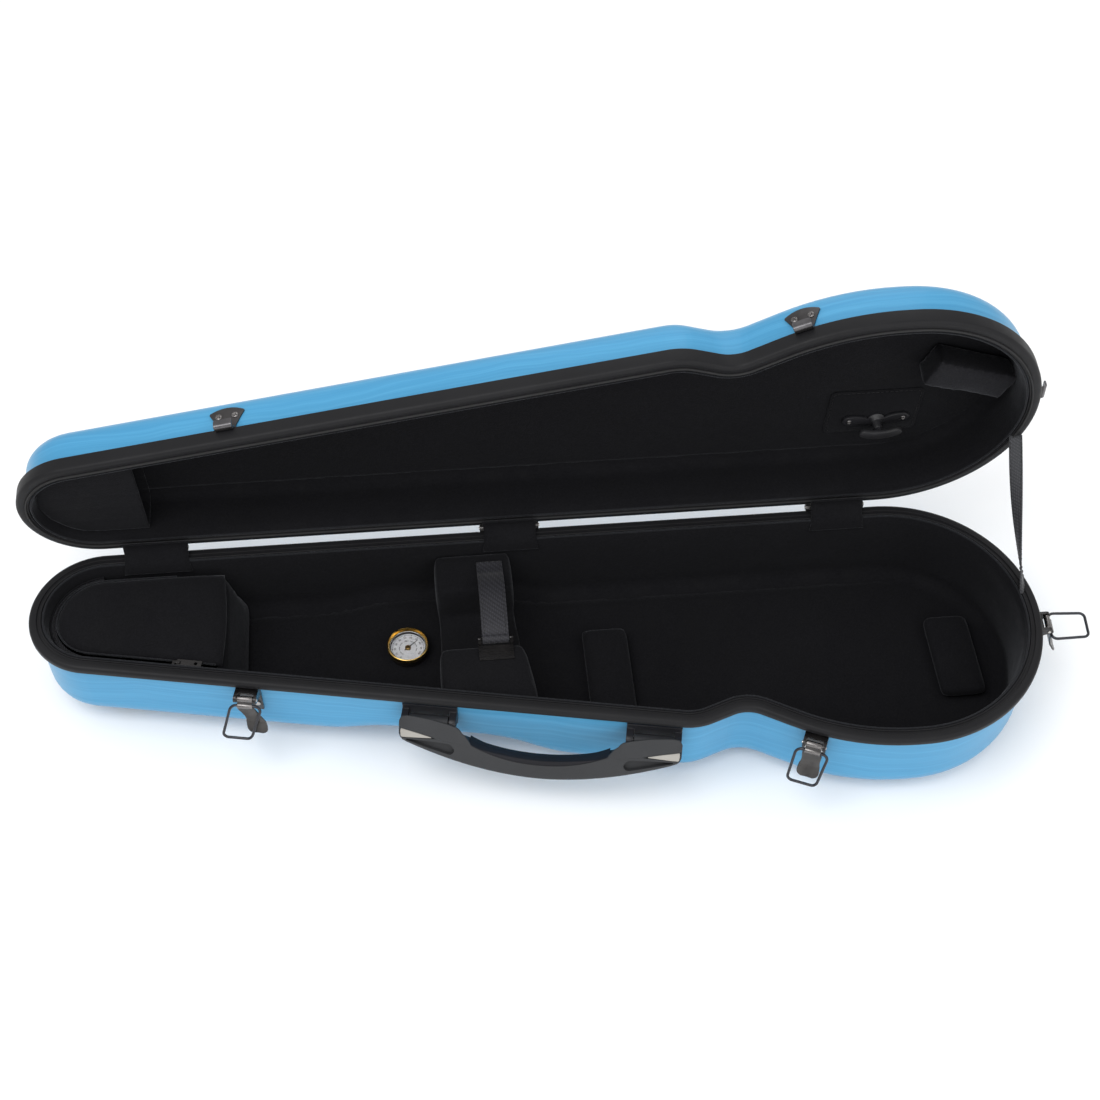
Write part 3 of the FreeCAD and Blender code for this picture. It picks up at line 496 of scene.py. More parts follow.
def mat_web(name, lo, hi, pitch=0.0011, sheen=0.15):
    """woven nylon tape: diagonal ribs"""
    M = Mat(name, rough=0.62, sheen=sheen, sheen_rough=0.4, spec=0.35)
    k = 1.0 / pitch
    w1 = M.n("ShaderNodeTexWave", wave_type="BANDS", bands_direction="DIAGONAL")
    w1.inputs["Scale"].default_value = k / 6.5; w1.inputs["Distortion"].default_value = 0.6; w1.inputs["Detail"].default_value = 1
    M.link(M.co, w1.inputs["Vector"])
    w2 = M.n("ShaderNodeTexWave", wave_type="BANDS", bands_direction="X")
    w2.inputs["Scale"].default_value = k / 4.0
    M.link(M.co, w2.inputs["Vector"])
    h = M.math("MULTIPLY", w1.outputs["Fac"], w2.outputs["Fac"])
    f = M.noise(1800, 2, 0.6)
    c = M.mixc(M.rng(h, 0.05, 0.6, 0.0, 1.0), lo, hi)
    c = M.mixc(M.rng(f, 0.45, 0.8, 0.0, 0.4), c, tuple(x * 1.8 for x in hi[:3]) + (1,))
    M.color(c)
    n1 = M.bump(h, 0.6, 0.0004)
    M.bump(f, 0.25, 0.0002, prev=n1)
    return M.m


def mat_metal(name, c, c2, rough, metal=1.0, coat=0.0, scr=True):
    M = Mat(name, rough=rough, metal=metal, coat=coat, coat_rough=0.15)
    a = M.noise(60, 4, 0.6)
    s = M.noise(1.0, 5, 0.65, vec=M.mapping((40, 900, 900)))
    col = M.mixc(M.rng(a, 0.3, 0.75, 0.0, 1.0), c, c2)
    M.color(col)
    M.rough(M.rng(s, 0.25, 0.75, rough - 0.06, rough + 0.1))
    M.bump(s, 0.08 if scr else 0.03, 0.0001)
    return M.m


m_shell_b = mat_shell("shell_blue_base", (0, 0, 0))
m_shell_l = mat_shell("shell_blue_lid", (math.radians(85), 0, 0))
m_trim = mat_plastic("trim_satin", srgb(23, 23, 25), srgb(29, 29, 31), 0.46, grain=2200, bump=0.10, spec=0.17)
m_plush = mat_plush("plush_black_velour", srgb(10, 10, 12), srgb(17, 17, 20), 0.12)
m_plush2 = mat_plush("plush_pouch", srgb(10, 10, 12), srgb(17, 17, 20), 0.15)
m_pipe = mat_plush("piping_plush", srgb(22, 23, 25), srgb(33, 34, 37), 0.25)
m_foam = mat_plush("foam_block_pile", srgb(21, 21, 24), srgb(29, 29, 32), 0.22, dens=1500)
m_web = mat_web("webbing_black", srgb(26, 26, 30), srgb(48, 48, 54))
m_web2 = mat_web("webbing_charcoal", srgb(40, 41, 44), srgb(66, 67, 71), pitch=0.0009)
m_thread = mat_web("stitch_thread", srgb(14, 14, 15), srgb(34, 34, 37), pitch=0.0005)
m_zip = mat_plastic("zip_nylon", srgb(20, 20, 22), srgb(34, 34, 37), 0.38, grain=900, bump=0.3)
m_blk = mat_metal("steel_black_enamel", srgb(34, 33, 34), srgb(52, 50, 50), 0.26, metal=0.75, coat=0.35)
m_blk2 = mat_metal("steel_gunmetal", srgb(64, 63, 63), srgb(92, 90, 89), 0.3, metal=0.9)
m_brt = mat_metal("steel_bright", srgb(168, 164, 160), srgb(205, 201, 196), 0.24)
m_hand = mat_plastic("handle_moulded", srgb(49, 50, 52), srgb(56, 57, 59), 0.5, grain=1500, bump=0.22, spec=0.2)
m_hand_d = mat_plastic("handle_dark", srgb(38, 39, 42), srgb(46, 47, 50), 0.5, grain=1500, bump=0.22, spec=0.2)
m_soft = mat_plastic("handle_soft_rubber", srgb(24, 24, 28), srgb(31, 31, 36), 0.6, grain=1100, bump=0.35, spec=0.2)
m_ins = mat_plastic("insert_warm_grey", srgb(150, 147, 141), srgb(163, 160, 154), 0.4, grain=1500, bump=0.1, wear=False)
m_brk = mat_plastic("bracket_black", srgb(26, 26, 30), srgb(34, 34, 38), 0.36, grain=1500, bump=0.15, spec=0.3)
m_rub = mat_plastic("rubber_foot", srgb(24, 24, 25), srgb(33, 33, 34), 0.75, grain=900, bump=0.4)
m_gold = mat_metal("bezel_gold", (0.62, 0.40, 0.10, 1), (0.80, 0.56, 0.20, 1), 0.2, scr=False)
m_need = mat_plastic("needle_dark", srgb(26, 24, 22), srgb(36, 33, 30), 0.35, wear=False)
m_brl = mat_metal("steel_barrel", srgb(98, 96, 96), srgb(134, 131, 130), 0.26)
m_wire = mat_metal("steel_wire_black", srgb(30, 31, 36), srgb(46, 47, 54), 0.28, metal=0.6, coat=0.4)
m_strike = mat_metal("strike_dark", srgb(58, 57, 58), srgb(78, 76, 76), 0.34, metal=0.8)
m_lip = mat_metal("strike_lip", srgb(88, 87, 89), srgb(116, 114, 116), 0.3)
m_hub = mat_metal("hub_bronze", (0.16, 0.10, 0.035, 1), (0.26, 0.17, 0.07, 1), 0.3, scr=False)
m_padl = mat_plastic("bow_holder_lever_grey", srgb(31, 31, 33), srgb(40, 40, 43), 0.45, grain=1500, bump=0.12)
m_holder = mat_plastic("bow_holder_black", srgb(26, 26, 28), srgb(36, 36, 39), 0.33, grain=1500, bump=0.12)


def mat_dial():
    M = Mat("dial_face", rough=0.45, spec=0.4)
    n = M.noise(300, 3, 0.5)
    M.color(M.mixc(M.rng(n, 0.3, 0.7, 0, 1), srgb(226, 226, 230), srgb(238, 238, 240)))
    M.bump(n, 0.05, 0.0001)
    return M.m


def mat_glass():
    M = Mat("lens_glass", rough=0.03, trans=1.0, ior=1.3, spec=0.4)
    n = M.noise(90, 2, 0.5)
    M.color(M.mixc(M.rng(n, 0.3, 0.7, 0, 1), (0.96, 0.97, 0.98, 1), (1, 1, 1, 1)))
    return M.m


m_dial, m_glass = mat_dial(), mat_glass()


def paint(node, m, slot=None, bevel=0.0, ang=30):
    o = NODES[node]
    o.data.materials.clear()
    o.data.materials.append(m)
    for p in o.data.polygons:
        p.material_index = 0
    if bevel:
        mod(o, "WELD", merge_threshold=1e-6)
        mod(o, "BEVEL", width=bevel, segments=2, limit_method="ANGLE", angle_limit=math.radians(ang), harden_normals=False)
    return o


def done(o, body, *nodes, slot=None, mat=None):
    if mat is not None:
        o.data.materials.clear(); o.data.materials.append(mat)
    if body:
        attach(o, body)
    if nodes:
        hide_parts(*nodes)
    return o


# ------------------------------------------------------------------ shells
for nd, m in (("base_shell", m_shell_b), ("lid_shell", m_shell_l)):
    paint(nd, m)

# ------------------------------------------------------------------ rim trims: moulded bumper profile
pb = rounded([(10, -2.0, 0.2), (10, 0, 0.7), (8.7, 0, 0.25), (8.7, -1.2, 0.1), (6.3, -1.2, 0.1), (6.3, 0, 0.35), (0, 0, 3.0), (0, -7, 1.3), (5.4, -7, 0.2), (5.4, -2, 0.2)], True, 4)
o, _ = sweep_rows("base_rim_trim", pb, D, True, clamp=True)
sharp(o, 40); done(o, "base", "base_trim", slot="trim_charcoal", mat=m_trim)
pl = rounded([(10, 2.5, 0.2), (10, 0.5, 0.7), (8.3, 0.5, 0.25), (8.3, 1.7, 0.1), (6.7, 1.7, 0.1), (6.7, 0.5, 0.35), (0, 0.5, 4.6), (0, 14, 1.3), (5.4, 14, 0.2), (5.4, 2.5, 0.2)], True, 5)
o, _ = sweep_rows("lid_rim_trim", pl, LD, True, clamp=True)
sharp(o, 40); done(o, "lid", "lid_trim", slot="trim_charcoal", mat=m_trim)
# rubber tongue seal of the lid
ps = rounded([(6.75, 1.7, 0), (6.75, -0.8, 0.5), (8.25, -0.8, 0.5), (8.25, 1.7, 0)], True, 3)
o, _ = sweep_rows("lid_rim_seal", ps, LD, True)
done(o, "lid", "lid_seal", slot="rubber_black", mat=m_rub)


# ------------------------------------------------------------------ plush linings
def fill_floor(O, zf, xf, step=9.0):
    """planar n-gon of the outline O cut into a grid; z follows zf(x, y)"""
    bm = bmesh.new()
    vs = [bm.verts.new((x, y, 0)) for x, y in O]
    bm.faces.new(vs)
    xs = [p[0] for p in O]; ys = [p[1] for p in O]
    for lo, hi, ax in ((min(xs), max(xs), 0), (min(ys), max(ys), 1)):
        q = lo + step
        while q < hi - 0.5 * step:
            co = [0, 0, 0]; no = [0, 0, 0]; co[ax] = q; no[ax] = 1
            bmesh.ops.bisect_plane(bm, geom=bm.verts[:] + bm.edges[:] + bm.faces[:], plane_co=co, plane_no=no, dist=1e-5)
            q += step
    verts = [xf((v.co.x, v.co.y, zf(v.co.x, v.co.y))) for v in bm.verts]
    bm.verts.index_update()
    faces = [tuple(v.index for v in f.verts) for f in bm.faces]
    bm.free()
    return verts, faces


def nz(x, y, s, k=0.0):
    return noise.noise(Vector((x / s, y / s, k)))


def lining(name, rows, d_in, zfloor, xf, amp, want):
    verts, faces = [], []
    n = None
    for i, (d, z) in enumerate(rows):
        O = outline(d); n = len(O)
        for x, y, nx, ny in O:
            zz = z(x) if callable(z) else z
            w = amp * (nz(x, y, 28, zz / 20) + 0.5 * nz(x, y, 11, zz / 9 + 5))
            if i < 8:
                w *= 0.15
            verts.append(xf((x - nx * w, y - ny * w, zz + (0.5 * w if d > 20 else 0))))
    for i in range(len(rows) - 1):
        a, b = i * n, (i + 1) * n
        for j in range(n):
            k = (j + 1) % n
            faces.append((a + j, a + k, b + k, b + j))
    wall = len(faces)
    O = [(p[0], p[1]) for p in outline(d_in)]
    fv, ff = fill_floor(O, lambda x, y: zfloor(x) + 0.5 * amp * (nz(x, y, 28, zfloor(x) / 20) + 0.5 * nz(x, y, 11, zfloor(x) / 9 + 5)), xf)
    off = len(verts)
    verts += fv; faces += [tuple(i + off for i in f) for f in ff]
    # the wall's rounded foot laps over the floor sheet; both are turned to face into the case
    o = obj_from(name, verts, faces)
    bm = bmesh.new(); bm.from_mesh(o.data); bm.normal_update(); bm.faces.ensure_lookup_table()
    for F in (list(bm.faces)[:wall], list(bm.faces)[wall:]):
        if sum(f.normal.dot(want) * f.calc_area() for f in F) < 0:
            for f in F:
                f.normal_flip()
    bm.to_mesh(o.data); bm.free()
    for p in o.data.polygons:
        p.use_smooth = True
    return o


def fl(x):
    return underz(x) + 8.45


rows = [(9.9, -1.9), (10.1, -1.2), (10.5, -0.7), (11.1, -0.45), (11.8, -0.6), (12.35, -1.1), (12.6, -1.9), (12.75, -2.9), (13.05, -4.0), (13.6, -6.0), (14.0, -9.0)]
H = 11.5
for t in (0.12, 0.25, 0.38, 0.5, 0.62, 0.75, 0.88, 1.0):
    rows.append((13.95 + 0.5 * math.sin(math.pi * t), (lambda t: (lambda x: -9.0 + (fl(x) + H + 9.0) * t))(t)))
for k in range(1, 8):
    a = math.pi / 2 * k / 7
    rows.append((13.95 + H * (1 - math.cos(a)), (lambda a: (lambda x: fl(x) + H * (1 - math.sin(a))))(a)))
rows += [(26.5, lambda x: fl(x) - 0.12), (29, lambda x: fl(x) - 0.5)]
o = lining("base_plush_lining", rows, 21, fl, D, 0.55, Vector((0, 0, 1)))
mod(o, "SOLIDIFY", thickness=0.0009, offset=-1.0)
done(o, "base", "base_lining", "base_padding", slot="plush_black", mat=m_plush)

rows = [(9.9, 2.4), (10.1, 1.7), (10.5, 1.2), (11.1, 0.95), (11.8, 1.1), (12.35, 1.6), (12.6, 2.4), (12.75, 3.4), (13.05, 4.5), (13.6, 6.5), (14.0, 9.0)]
H = 9.5
for t in (0.2, 0.4, 0.6, 0.8, 1.0):
    rows.append((13.95 + 0.4 * math.sin(math.pi * t), 9.0 + (CEIL - H - 9.0) * t))
for k in range(1, 8):
    a = math.pi / 2 * k / 7
    rows.append((13.95 + H * (1 - math.cos(a)), CEIL - H * (1 - math.sin(a))))
rows += [(24.5, CEIL + 0.12), (27, CEIL + 0.5)]
o = lining("lid_plush_lining", rows, 19, lambda x: CEIL, LD, -0.6, Vector((0, -1, 0)))
mod(o, "SOLIDIFY", thickness=0.0009, offset=-1.0)
done(o, "lid", "lid_lining", "lid_padding", slot="plush_black", mat=m_plush)

# stitched piping cord along both linings
for nm, xf, z, body in (("base_piping", D, -0.8, "base"), ("lid_piping", LD, 1.25, "lid")):
    pts = [xf((x, y, z)) for x, y, nx, ny in outline(11.35)]
    o = tube(nm, pts, 0.00085, 8, closed=True)
    done(o, body, slot="plush_black", mat=m_pipe)


# ------------------------------------------------------------------ padded blocks by cloth inflation
def copy_node(node, name):
    me = NODES[node].data.copy()
    o = bpy.data.objects.new(name, me)
    scene.collection.objects.link(o)
    bm = bmesh.new(); bm.from_mesh(me)
    bmesh.ops.remove_doubles(bm, verts=bm.verts, dist=1e-6)
    bm.to_mesh(me); bm.free()
    return o


def shrink(o, by):
    bm = bmesh.new(); bm.from_mesh(o.data)
    bm.normal_update()
    for v in bm.verts:
        v.co -= v.normal * by
    bm.to_mesh(o.data); bm.free()


def soften(o, voxel, shrink_mm=0.8, pressure=3.0, cap=0.0022, frames=14, smooth=6, subsurf=1):
    """voxel remesh, inflate as cloth with a cap on how far a point may move, smooth, subdivide"""
    m = mod(o, "REMESH", mode="VOXEL", voxel_size=voxel, use_smooth_shade=True)
    apply_mods(o)
    mod(o, "SMOOTH", factor=0.5, iterations=smooth)
    apply_mods(o)
    if shrink_mm:
        shrink(o, shrink_mm / 1000)
    rest = np.array([v.co[:] for v in o.data.vertices])
    if pressure > 0:
        c = mod(o, "CLOTH")
        s = c.settings
        s.quality = 4; s.mass = 0.2; s.use_pressure = True; s.uniform_pressure_force = pressure
        s.tension_stiffness = 8; s.compression_stiffness = 8; s.shear_stiffness = 5; s.bending_stiffness = 1.0
        s.effector_weights.gravity = 0
        c.collision_settings.use_collision = False
        c.point_cache.frame_start, c.point_cache.frame_end = 1, frames
        for f in range(1, frames + 1):
            scene.frame_set(f)
        apply_mods(o)
        scene.frame_set(1)
        new = np.array([v.co[:] for v in o.data.vertices])
        dv = new - rest
        L = np.linalg.norm(dv, axis=1, keepdims=True)
        new = rest + dv * np.minimum(1.0, cap / np.maximum(L, 1e-9))
        new = np.where(np.isfinite(new), new, rest)
        o.data.vertices.foreach_set("co", new.astype(np.float32).ravel()); o.data.update()
        mod(o, "SMOOTH", factor=0.5, iterations=2)
        apply_mods(o)
    if subsurf:
        mod(o, "SUBSURF", levels=subsurf, render_levels=subsurf)
        apply_mods(o)
    for p in o.data.polygons:
        p.use_smooth = True
    return o


cr_ = copy_node("neck_cradle", "neck_cradle_pad")
for v in cr_.data.vertices:
    x, y = v.co.x * 1000 - SX, v.co.y * 1000 - SY
    if x > -60:
        # the wide side is cut back where the shoulder of the instrument passes
        t = max(0.0, min(1.0, (y + 136.0) / 52.0))
        v.co.x -= 0.013 * t * t * (3 - 2 * t) * (x + 60) / 40
o = soften(cr_, 0.0042, 0.9, 3.0, 0.0020)
done(o, "base", "neck_cradle", slot="plush_black", mat=m_plush)
o = soften(copy_node("support_pads", "support_pad_pair"), 0.0045, 0.8, 3.0, 0.0020)
done(o, "base", "support_pads", slot="plush_black", mat=m_plush)
o = soften(copy_node("foam_block", "lid_foam_block"), 0.0030, 0.5, 2.0, 0.0014, smooth=3)
done(o, "lid", "foam_block", slot="foam_block", mat=m_foam)
o.data.materials.append(m_plush2)
face_ = (LD((0, 0, -1)) - LD((0, 0, 0))).normalized()
for p_ in o.data.polygons:
    if p_.normal.dot(face_) < 0.8:
        p_.material_index = 1
o = soften(copy_node("bow_tip_sleeve", "bow_tip_pocket"), 0.0014, 0.0, 0.0, 0.001, smooth=3, subsurf=0)
done(o, "lid", "bow_tip_sleeve", slot="plush_black", mat=m_plush2)

# ------------------------------------------------------------------ accessory pouch: wall, domed cover, gusset, zip
o = soften(copy_node("pouch_wall", "pouch_divider"), 0.0034, 0.6, 2.0, 0.0016)
done(o, "base", "pouch_wall", slot="plush_black", mat=m_plush2)


def pouch_cover():
    xe = -262.5
    # outline of the cover: inset 21, closed on the right by a gently bowed edge
    O = [(x, y) for x, y, nx, ny in outline(21.0)]
    pts = [p for p in O if p[0] < xe - 1]
    # order: start on the hinge side right edge, run round the narrow end
    idx = [i for i, p in enumerate(O) if p[0] < xe - 1]
    start = [i for i in idx if (i - 1) % len(O) not in idx][0]
    run, i = [], start
    while i in idx and len(run) < len(O):
        run.append(O[i]); i = (i + 1) % len(O)
    y0, y1 = run[-1][1], run[0][1]
    for k in range(0, 21):
        t = k / 20
        run.append((xe + 2.6 * math.sin(math.pi * t), y0 + (y1 - y0) * t))
    P = np.array(run)
    C = P.mean(0)
    verts, faces = [], []
    n = len(P)
    # rings shrink from the edge to the middle line by offset distance
    Q = P.copy()
    def inward(Q, s):
        a = np.roll(Q, 1, 0); b = np.roll(Q, -1, 0)
        t = b - a; t /= np.linalg.norm(t, axis=1, keepdims=True) + 1e-9
        nn = np.stack([t[:, 1], -t[:, 0]], 1)
        if ((C - Q) * nn).sum() < 0:
            nn = -nn
        R = Q + nn * s
        for _ in range(2):
            R = 0.5 * R + 0.25 * (np.roll(R, 1, 0) + np.roll(R, -1, 0))
        return R
    prof = [(0, -11.3), (0.0, -10.2), (0.35, -9.0), (1.0, -7.9), (2.1, -6.9), (3.8, -6.0), (6.5, -5.2), (9.5, -4.65)]
    rings, dprev = [], 0
    bot = [(6, -11.3)]
    R = Q.copy()
    for d, z in prof:
        step = d - dprev
        while step > 1e-6:
            s = min(step, 2.0)
            R = inward(R, s); step -= s
        dprev = d
        rings.append((R.copy(), z))
    for R, z in rings:
        for x, y in R:
            dz = 0.35 * nz(x, y, 30, 3.0) + 0.18 * nz(x, y, 12, 8.0) if z > -8 else 0
            verts.append(D((x, y, z + dz)))
    for i in range(len(rings) - 1):
        for j in range(n):
            k = (j + 1) % n
            faces.append((i * n + j, i * n + k, (i + 1) * n + k, (i + 1) * n + j))
    Rl, zl = rings[-1]
    def crown(x, y):
        d = float(np.min(np.hypot(Rl[:, 0] - x, Rl[:, 1] - y)))
        return zl + 1.05 * (1 - math.exp(-d / 9.0)) + 0.35 * nz(x, y, 30, 3.0) + 0.18 * nz(x, y, 12, 8.0)
    fv, ff = fill_floor([tuple(p) for p in Rl], crown, D, 7.0)
    off = len(verts); verts += fv; faces += [tuple(a + off for a in f) for f in ff]
    faces.append(tuple(range(n)))
    return obj_from("pouch_domed_cover", verts, faces), run


o, cover_run = pouch_cover()
done(o, "pouch_cover", "pouch_cover", slot="plush_black", mat=m_plush2)


def front_run(d, x_stop, y_stop):
    """outline points at inset d round the narrow end, from the front side to the hinge side"""
    O = outline(d)
    idx = [i for i, p in enumerate(O) if p[0] < x_stop and not (p[3] > 0.999 and p[0] > y_stop)]
    start = [i for i in idx if (i - 1) % len(O) not in idx][0]
    run, i = [], start
    while i in idx and len(run) < len(O):
        run.append(O[i]); i = (i + 1) % len(O)
    return run


def ribbon_solid(name, run, prof, xf=D):
    """prof: closed list of (inset offset added along the inward normal, z)"""
    verts, faces, m = [], [], len(prof)
    for x, y, nx, ny in run:
        for dd, z in prof:
            verts.append(xf((x - nx * dd, y - ny * dd, z)))
    for i in range(len(run) - 1):
        for j in range(m):
            k = (j + 1) % m
            faces.append((i * m + j, i * m + k, (i + 1) * m + k, (i + 1) * m + j))
    faces.append(tuple(range(m))[::-1]); faces.append(tuple((len(run) - 1) * m + j for j in range(m)))
    return obj_from(name, verts, faces)


run = front_run(14.3, -268.6, -380.0)
o = ribbon_solid("pouch_gusset_band", run, rounded([(0, -14.0, 0.3), (1.3, -14.0, 0.3), (1.5, -10.6, 0.4), (0.2, -10.1, 0.4)], True, 2))
done(o, "base", "pouch_gusset", slot="plush_black", mat=m_plush2)
# zip: two tapes and interlocked nylon coils
run = front_run(15.7, -268.8, -380.0)
tape = ribbon_solid("zip_tape", run, rounded([(0.0, -12.2, 0.2), (3.5, -12.2, 0.2), (3.5, -11.6, 0.25), (0.0, -11.6, 0.25)], True, 2))
tape.data.materials.append(m_web)
teeth_v, teeth_f = [], []
acc, step, last, cnt = 0.0, 1.25, None, 0
mid = [(x - nx * 1.75, y - ny * 1.75, nx, ny) for x, y, nx, ny in run]
for (x, y, nx, ny), (x2, y2, nx2, ny2) in zip(mid[:-1], mid[1:]):
    L = math.hypot(x2 - x, y2 - y)
    if L < 1e-6:
        continue
    while acc < L:
        t = acc / L
        px, py = x + (x2 - x) * t, y + (y2 - y) * t
        qx, qy = norm2(nx + (nx2 - nx) * t, ny + (ny2 - ny) * t)
        tx, ty = (x2 - x) / L, (y2 - y) / L
        side = 1 if cnt % 2 == 0 else -1
        b = len(teeth_v)
        # one coil loop: a small rounded block leaning over the centre line
        for w0, z in ((-0.35, -11.7), (-0.35, -10.95), (0.0, -10.6), (0.75, -10.6), (1.15, -11.0), (1.15, -11.7)):
            for s in (-0.42, 0.42):
                teeth_v.append(D((px + qx * w0 * side + tx * s, py + qy * w0 * side + ty * s, z)))
        m_ = 6
        for q in range(m_):
            r = (q + 1) % m_
            teeth_f.append((b + 2 * q, b + 2 * q + 1, b + 2 * r + 1, b + 2 * r))
        teeth_f.append(tuple(b + 2 * q for q in range(m_))); teeth_f.append(tuple(b + 2 * q + 1 for q in reversed(range(m_))))
        acc += step; cnt += 1
    acc -= L
teeth = obj_from("zip_teeth", teeth_v, teeth_f, smooth=False, mat=m_zip)
o = join("pouch_zip_chain", [tape, teeth])
done(o, "base", "pouch_zip", slot="zip_black")
# piping seam between the cover and its zip
pts = [D((x, y, -8.6)) for x, y, nx, ny in front_run(20.55, -266.0, -300.0)]
o = tube("pouch_seam_piping", pts, 0.0007, 8)
done(o, "pouch_cover", slot="plush_black", mat=m_pipe)
for nd in ("zip_slider", "zip_pull"):
    paint(nd, m_blk, bevel=0.0004)


# ------------------------------------------------------------------ webbing straps
def strap(name, centre, width, thick, wdir, xf=D, mat=None, seg=None, edge=0.35):
    """flat strap: centre points (mm), wdir per point (unit), thickness direction from the tangent"""
    verts, faces = [], []
    n = len(centre)
    prof = rounded([(-width / 2, -thick / 2, edge), (width / 2, -thick / 2, edge), (width / 2, thick / 2, edge), (-width / 2, thick / 2, edge)], True, 2)
    m = len(prof)
    for i in range(n):
        t = (centre[min(i + 1, n - 1)] - centre[max(i - 1, 0)]).normalized()
        w = wdir[i] if isinstance(wdir, list) else wdir
        w = (w - t * w.dot(t)).normalized()
        h = t.cross(w)
        for a, b in prof:
            verts.append(xf(centre[i] + w * a + h * b))
    for i in range(n - 1):
        for j in range(m):
            k = (j + 1) % m
            faces.append((i * m + j, i * m + k, (i + 1) * m + k, (i + 1) * m + j))
    faces.append(tuple(range(m))[::-1]); faces.append(tuple((n - 1) * m + j for j in range(m)))
    return obj_from(name, verts, faces, mat=mat)


def stitches(name, centre, wdir, offs, lift, xf=D, length=2.4, gap=1.1, r=0.00028, mat=None):
    """rows of thread stitches along a strap, at offsets across it and on the given side(s)"""
    verts, faces = [], []
    n = len(centre)
    S = [0.0]
    for a, b in zip(centre[:-1], centre[1:]):
        S.append(S[-1] + (b - a).length)
    def at(s):
        for i in range(n - 1):
            if S[i + 1] >= s:
                k = (s - S[i]) / max(1e-9, S[i + 1] - S[i])
                return centre[i].lerp(centre[i + 1], k), (centre[i + 1] - centre[i]).normalized(), (wdir[i] if isinstance(wdir, list) else wdir)
        return centre[-1], (centre[-1] - centre[-2]).normalized(), (wdir[-1] if isinstance(wdir, list) else wdir)
    objs = []
    for off in offs:
        s = 1.5
        while s + length < S[-1] - 1.0:
            P = []
            for q in range(5):
                c, t, w = at(s + length * q / 4)
                w = (w - t * w.dot(t)).normalized(); h = t.cross(w)
                hh = lift * (1.0 if 0 < q < 4 else 0.72)
                P.append((c + w * off + h * hh, w, h))
            b = len(verts); sg = 5
            for c, w, h in P:
                for j in range(sg):
                    a = 2 * math.pi * j / sg
                    verts.append(xf(c + (w * math.cos(a) + h * math.sin(a)) * (r * 1000)))
            for i in range(4):
                for j in range(sg):
                    k = (j + 1) % sg
                    faces.append((b + i * sg + j, b + i * sg + k, b + (i + 1) * sg + k, b + (i + 1) * sg + j))
            faces.append(tuple(b + j for j in range(sg))[::-1]); faces.append(tuple(b + 4 * sg + j for j in range(sg)))
            s += length + gap
    return obj_from(name, verts, faces, mat=mat)


# neck strap: loops round its bar, over the neck space, end lying on the rear pad
nc = catmull([Vector((-51.5, -101.0, -7.4)), Vector((-51.5, -102.2, -3.0)), Vector((-51.5, -97.5, 1.2)), Vector((-51.5, -84, 4.3)), Vector((-51.5, -70, 5.6)), Vector((-51.5, -58, 4.2)), Vector((-51.5, -48, -0.2)), Vector((-51.5, -40, -5.2)), Vector((-51.5, -34, -7.1)), Vector((-51.5, -27.6, -7.3))], 7)
wd = Vector((1, 0, 0))
st = strap("ns_body", nc, 20.6, 1.7, wd, mat=m_web)
h1 = stitches("ns_st", nc[8:], wd, (-8.4, 8.4), 0.92, mat=m_thread)
h2 = stitches("ns_st2", nc[8:], wd, (-8.4, 8.4), -0.92, mat=m_thread)
# looped end round the bar
lp = [Vector((-51.5, -104 + 3.1 * math.cos(a), -5 + 3.1 * math.sin(a))) for a in [math.radians(q) for q in range(35, 331, 15)]]
lo_ = strap("ns_loop", lp, 20.6, 1.0, wd, mat=m_web)
# box stitch across the free end
xs = []
for y, zz in ((-30.2, -6.3), (-56.0, 4.4)):
    pass
bx1 = stitches("ns_b1", [Vector((-59.6, -30.0, -7.1)), Vector((-43.4, -30.0, -7.1))], Vector((0, 1, 0)), (0.0,), -0.95, mat=m_thread, length=2.2, gap=0.9)
o = join("neck_strap_web", [st, h1, h2, lo_, bx1])
done(o, "neck_strap", "neck_strap", slot="webbing_black")
paint("strap_anchor", m_blk, bevel=0.0003)

# stay strap from the lid to the base: woven tape with a quarter twist
A = Vector((366.0, -4.4, 82.3)); Bp = Vector((367.0, -97.0, -1.5))
dn = (A - Bp).normalized()
wA = (Vector((1, 0, 0)) - dn * dn.x).normalized(); tA = dn.cross(wA)
cs, ws = [], []
for j in range(37):
    t = j / 36
    a = math.radians(-130.0 * (1 - t))
    cs.append(Bp.lerp(A, t) + Vector((-1.6 * math.sin(math.pi * t), 0, 0)))
    ws.append(wA * math.cos(a) + tA * math.sin(a))
st = strap("ss_body", cs, 10.4, 1.3, ws, mat=m_web2)
s1 = stitches("ss_s1", cs, ws, (-4.3, 4.3), 0.72, mat=m_thread)
s2 = stitches("ss_s2", cs, ws, (-4.3, 4.3), -0.72, mat=m_thread)
o = join("stay_strap_web", [st, s1, s2])
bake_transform(o)
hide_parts("stay_strap")

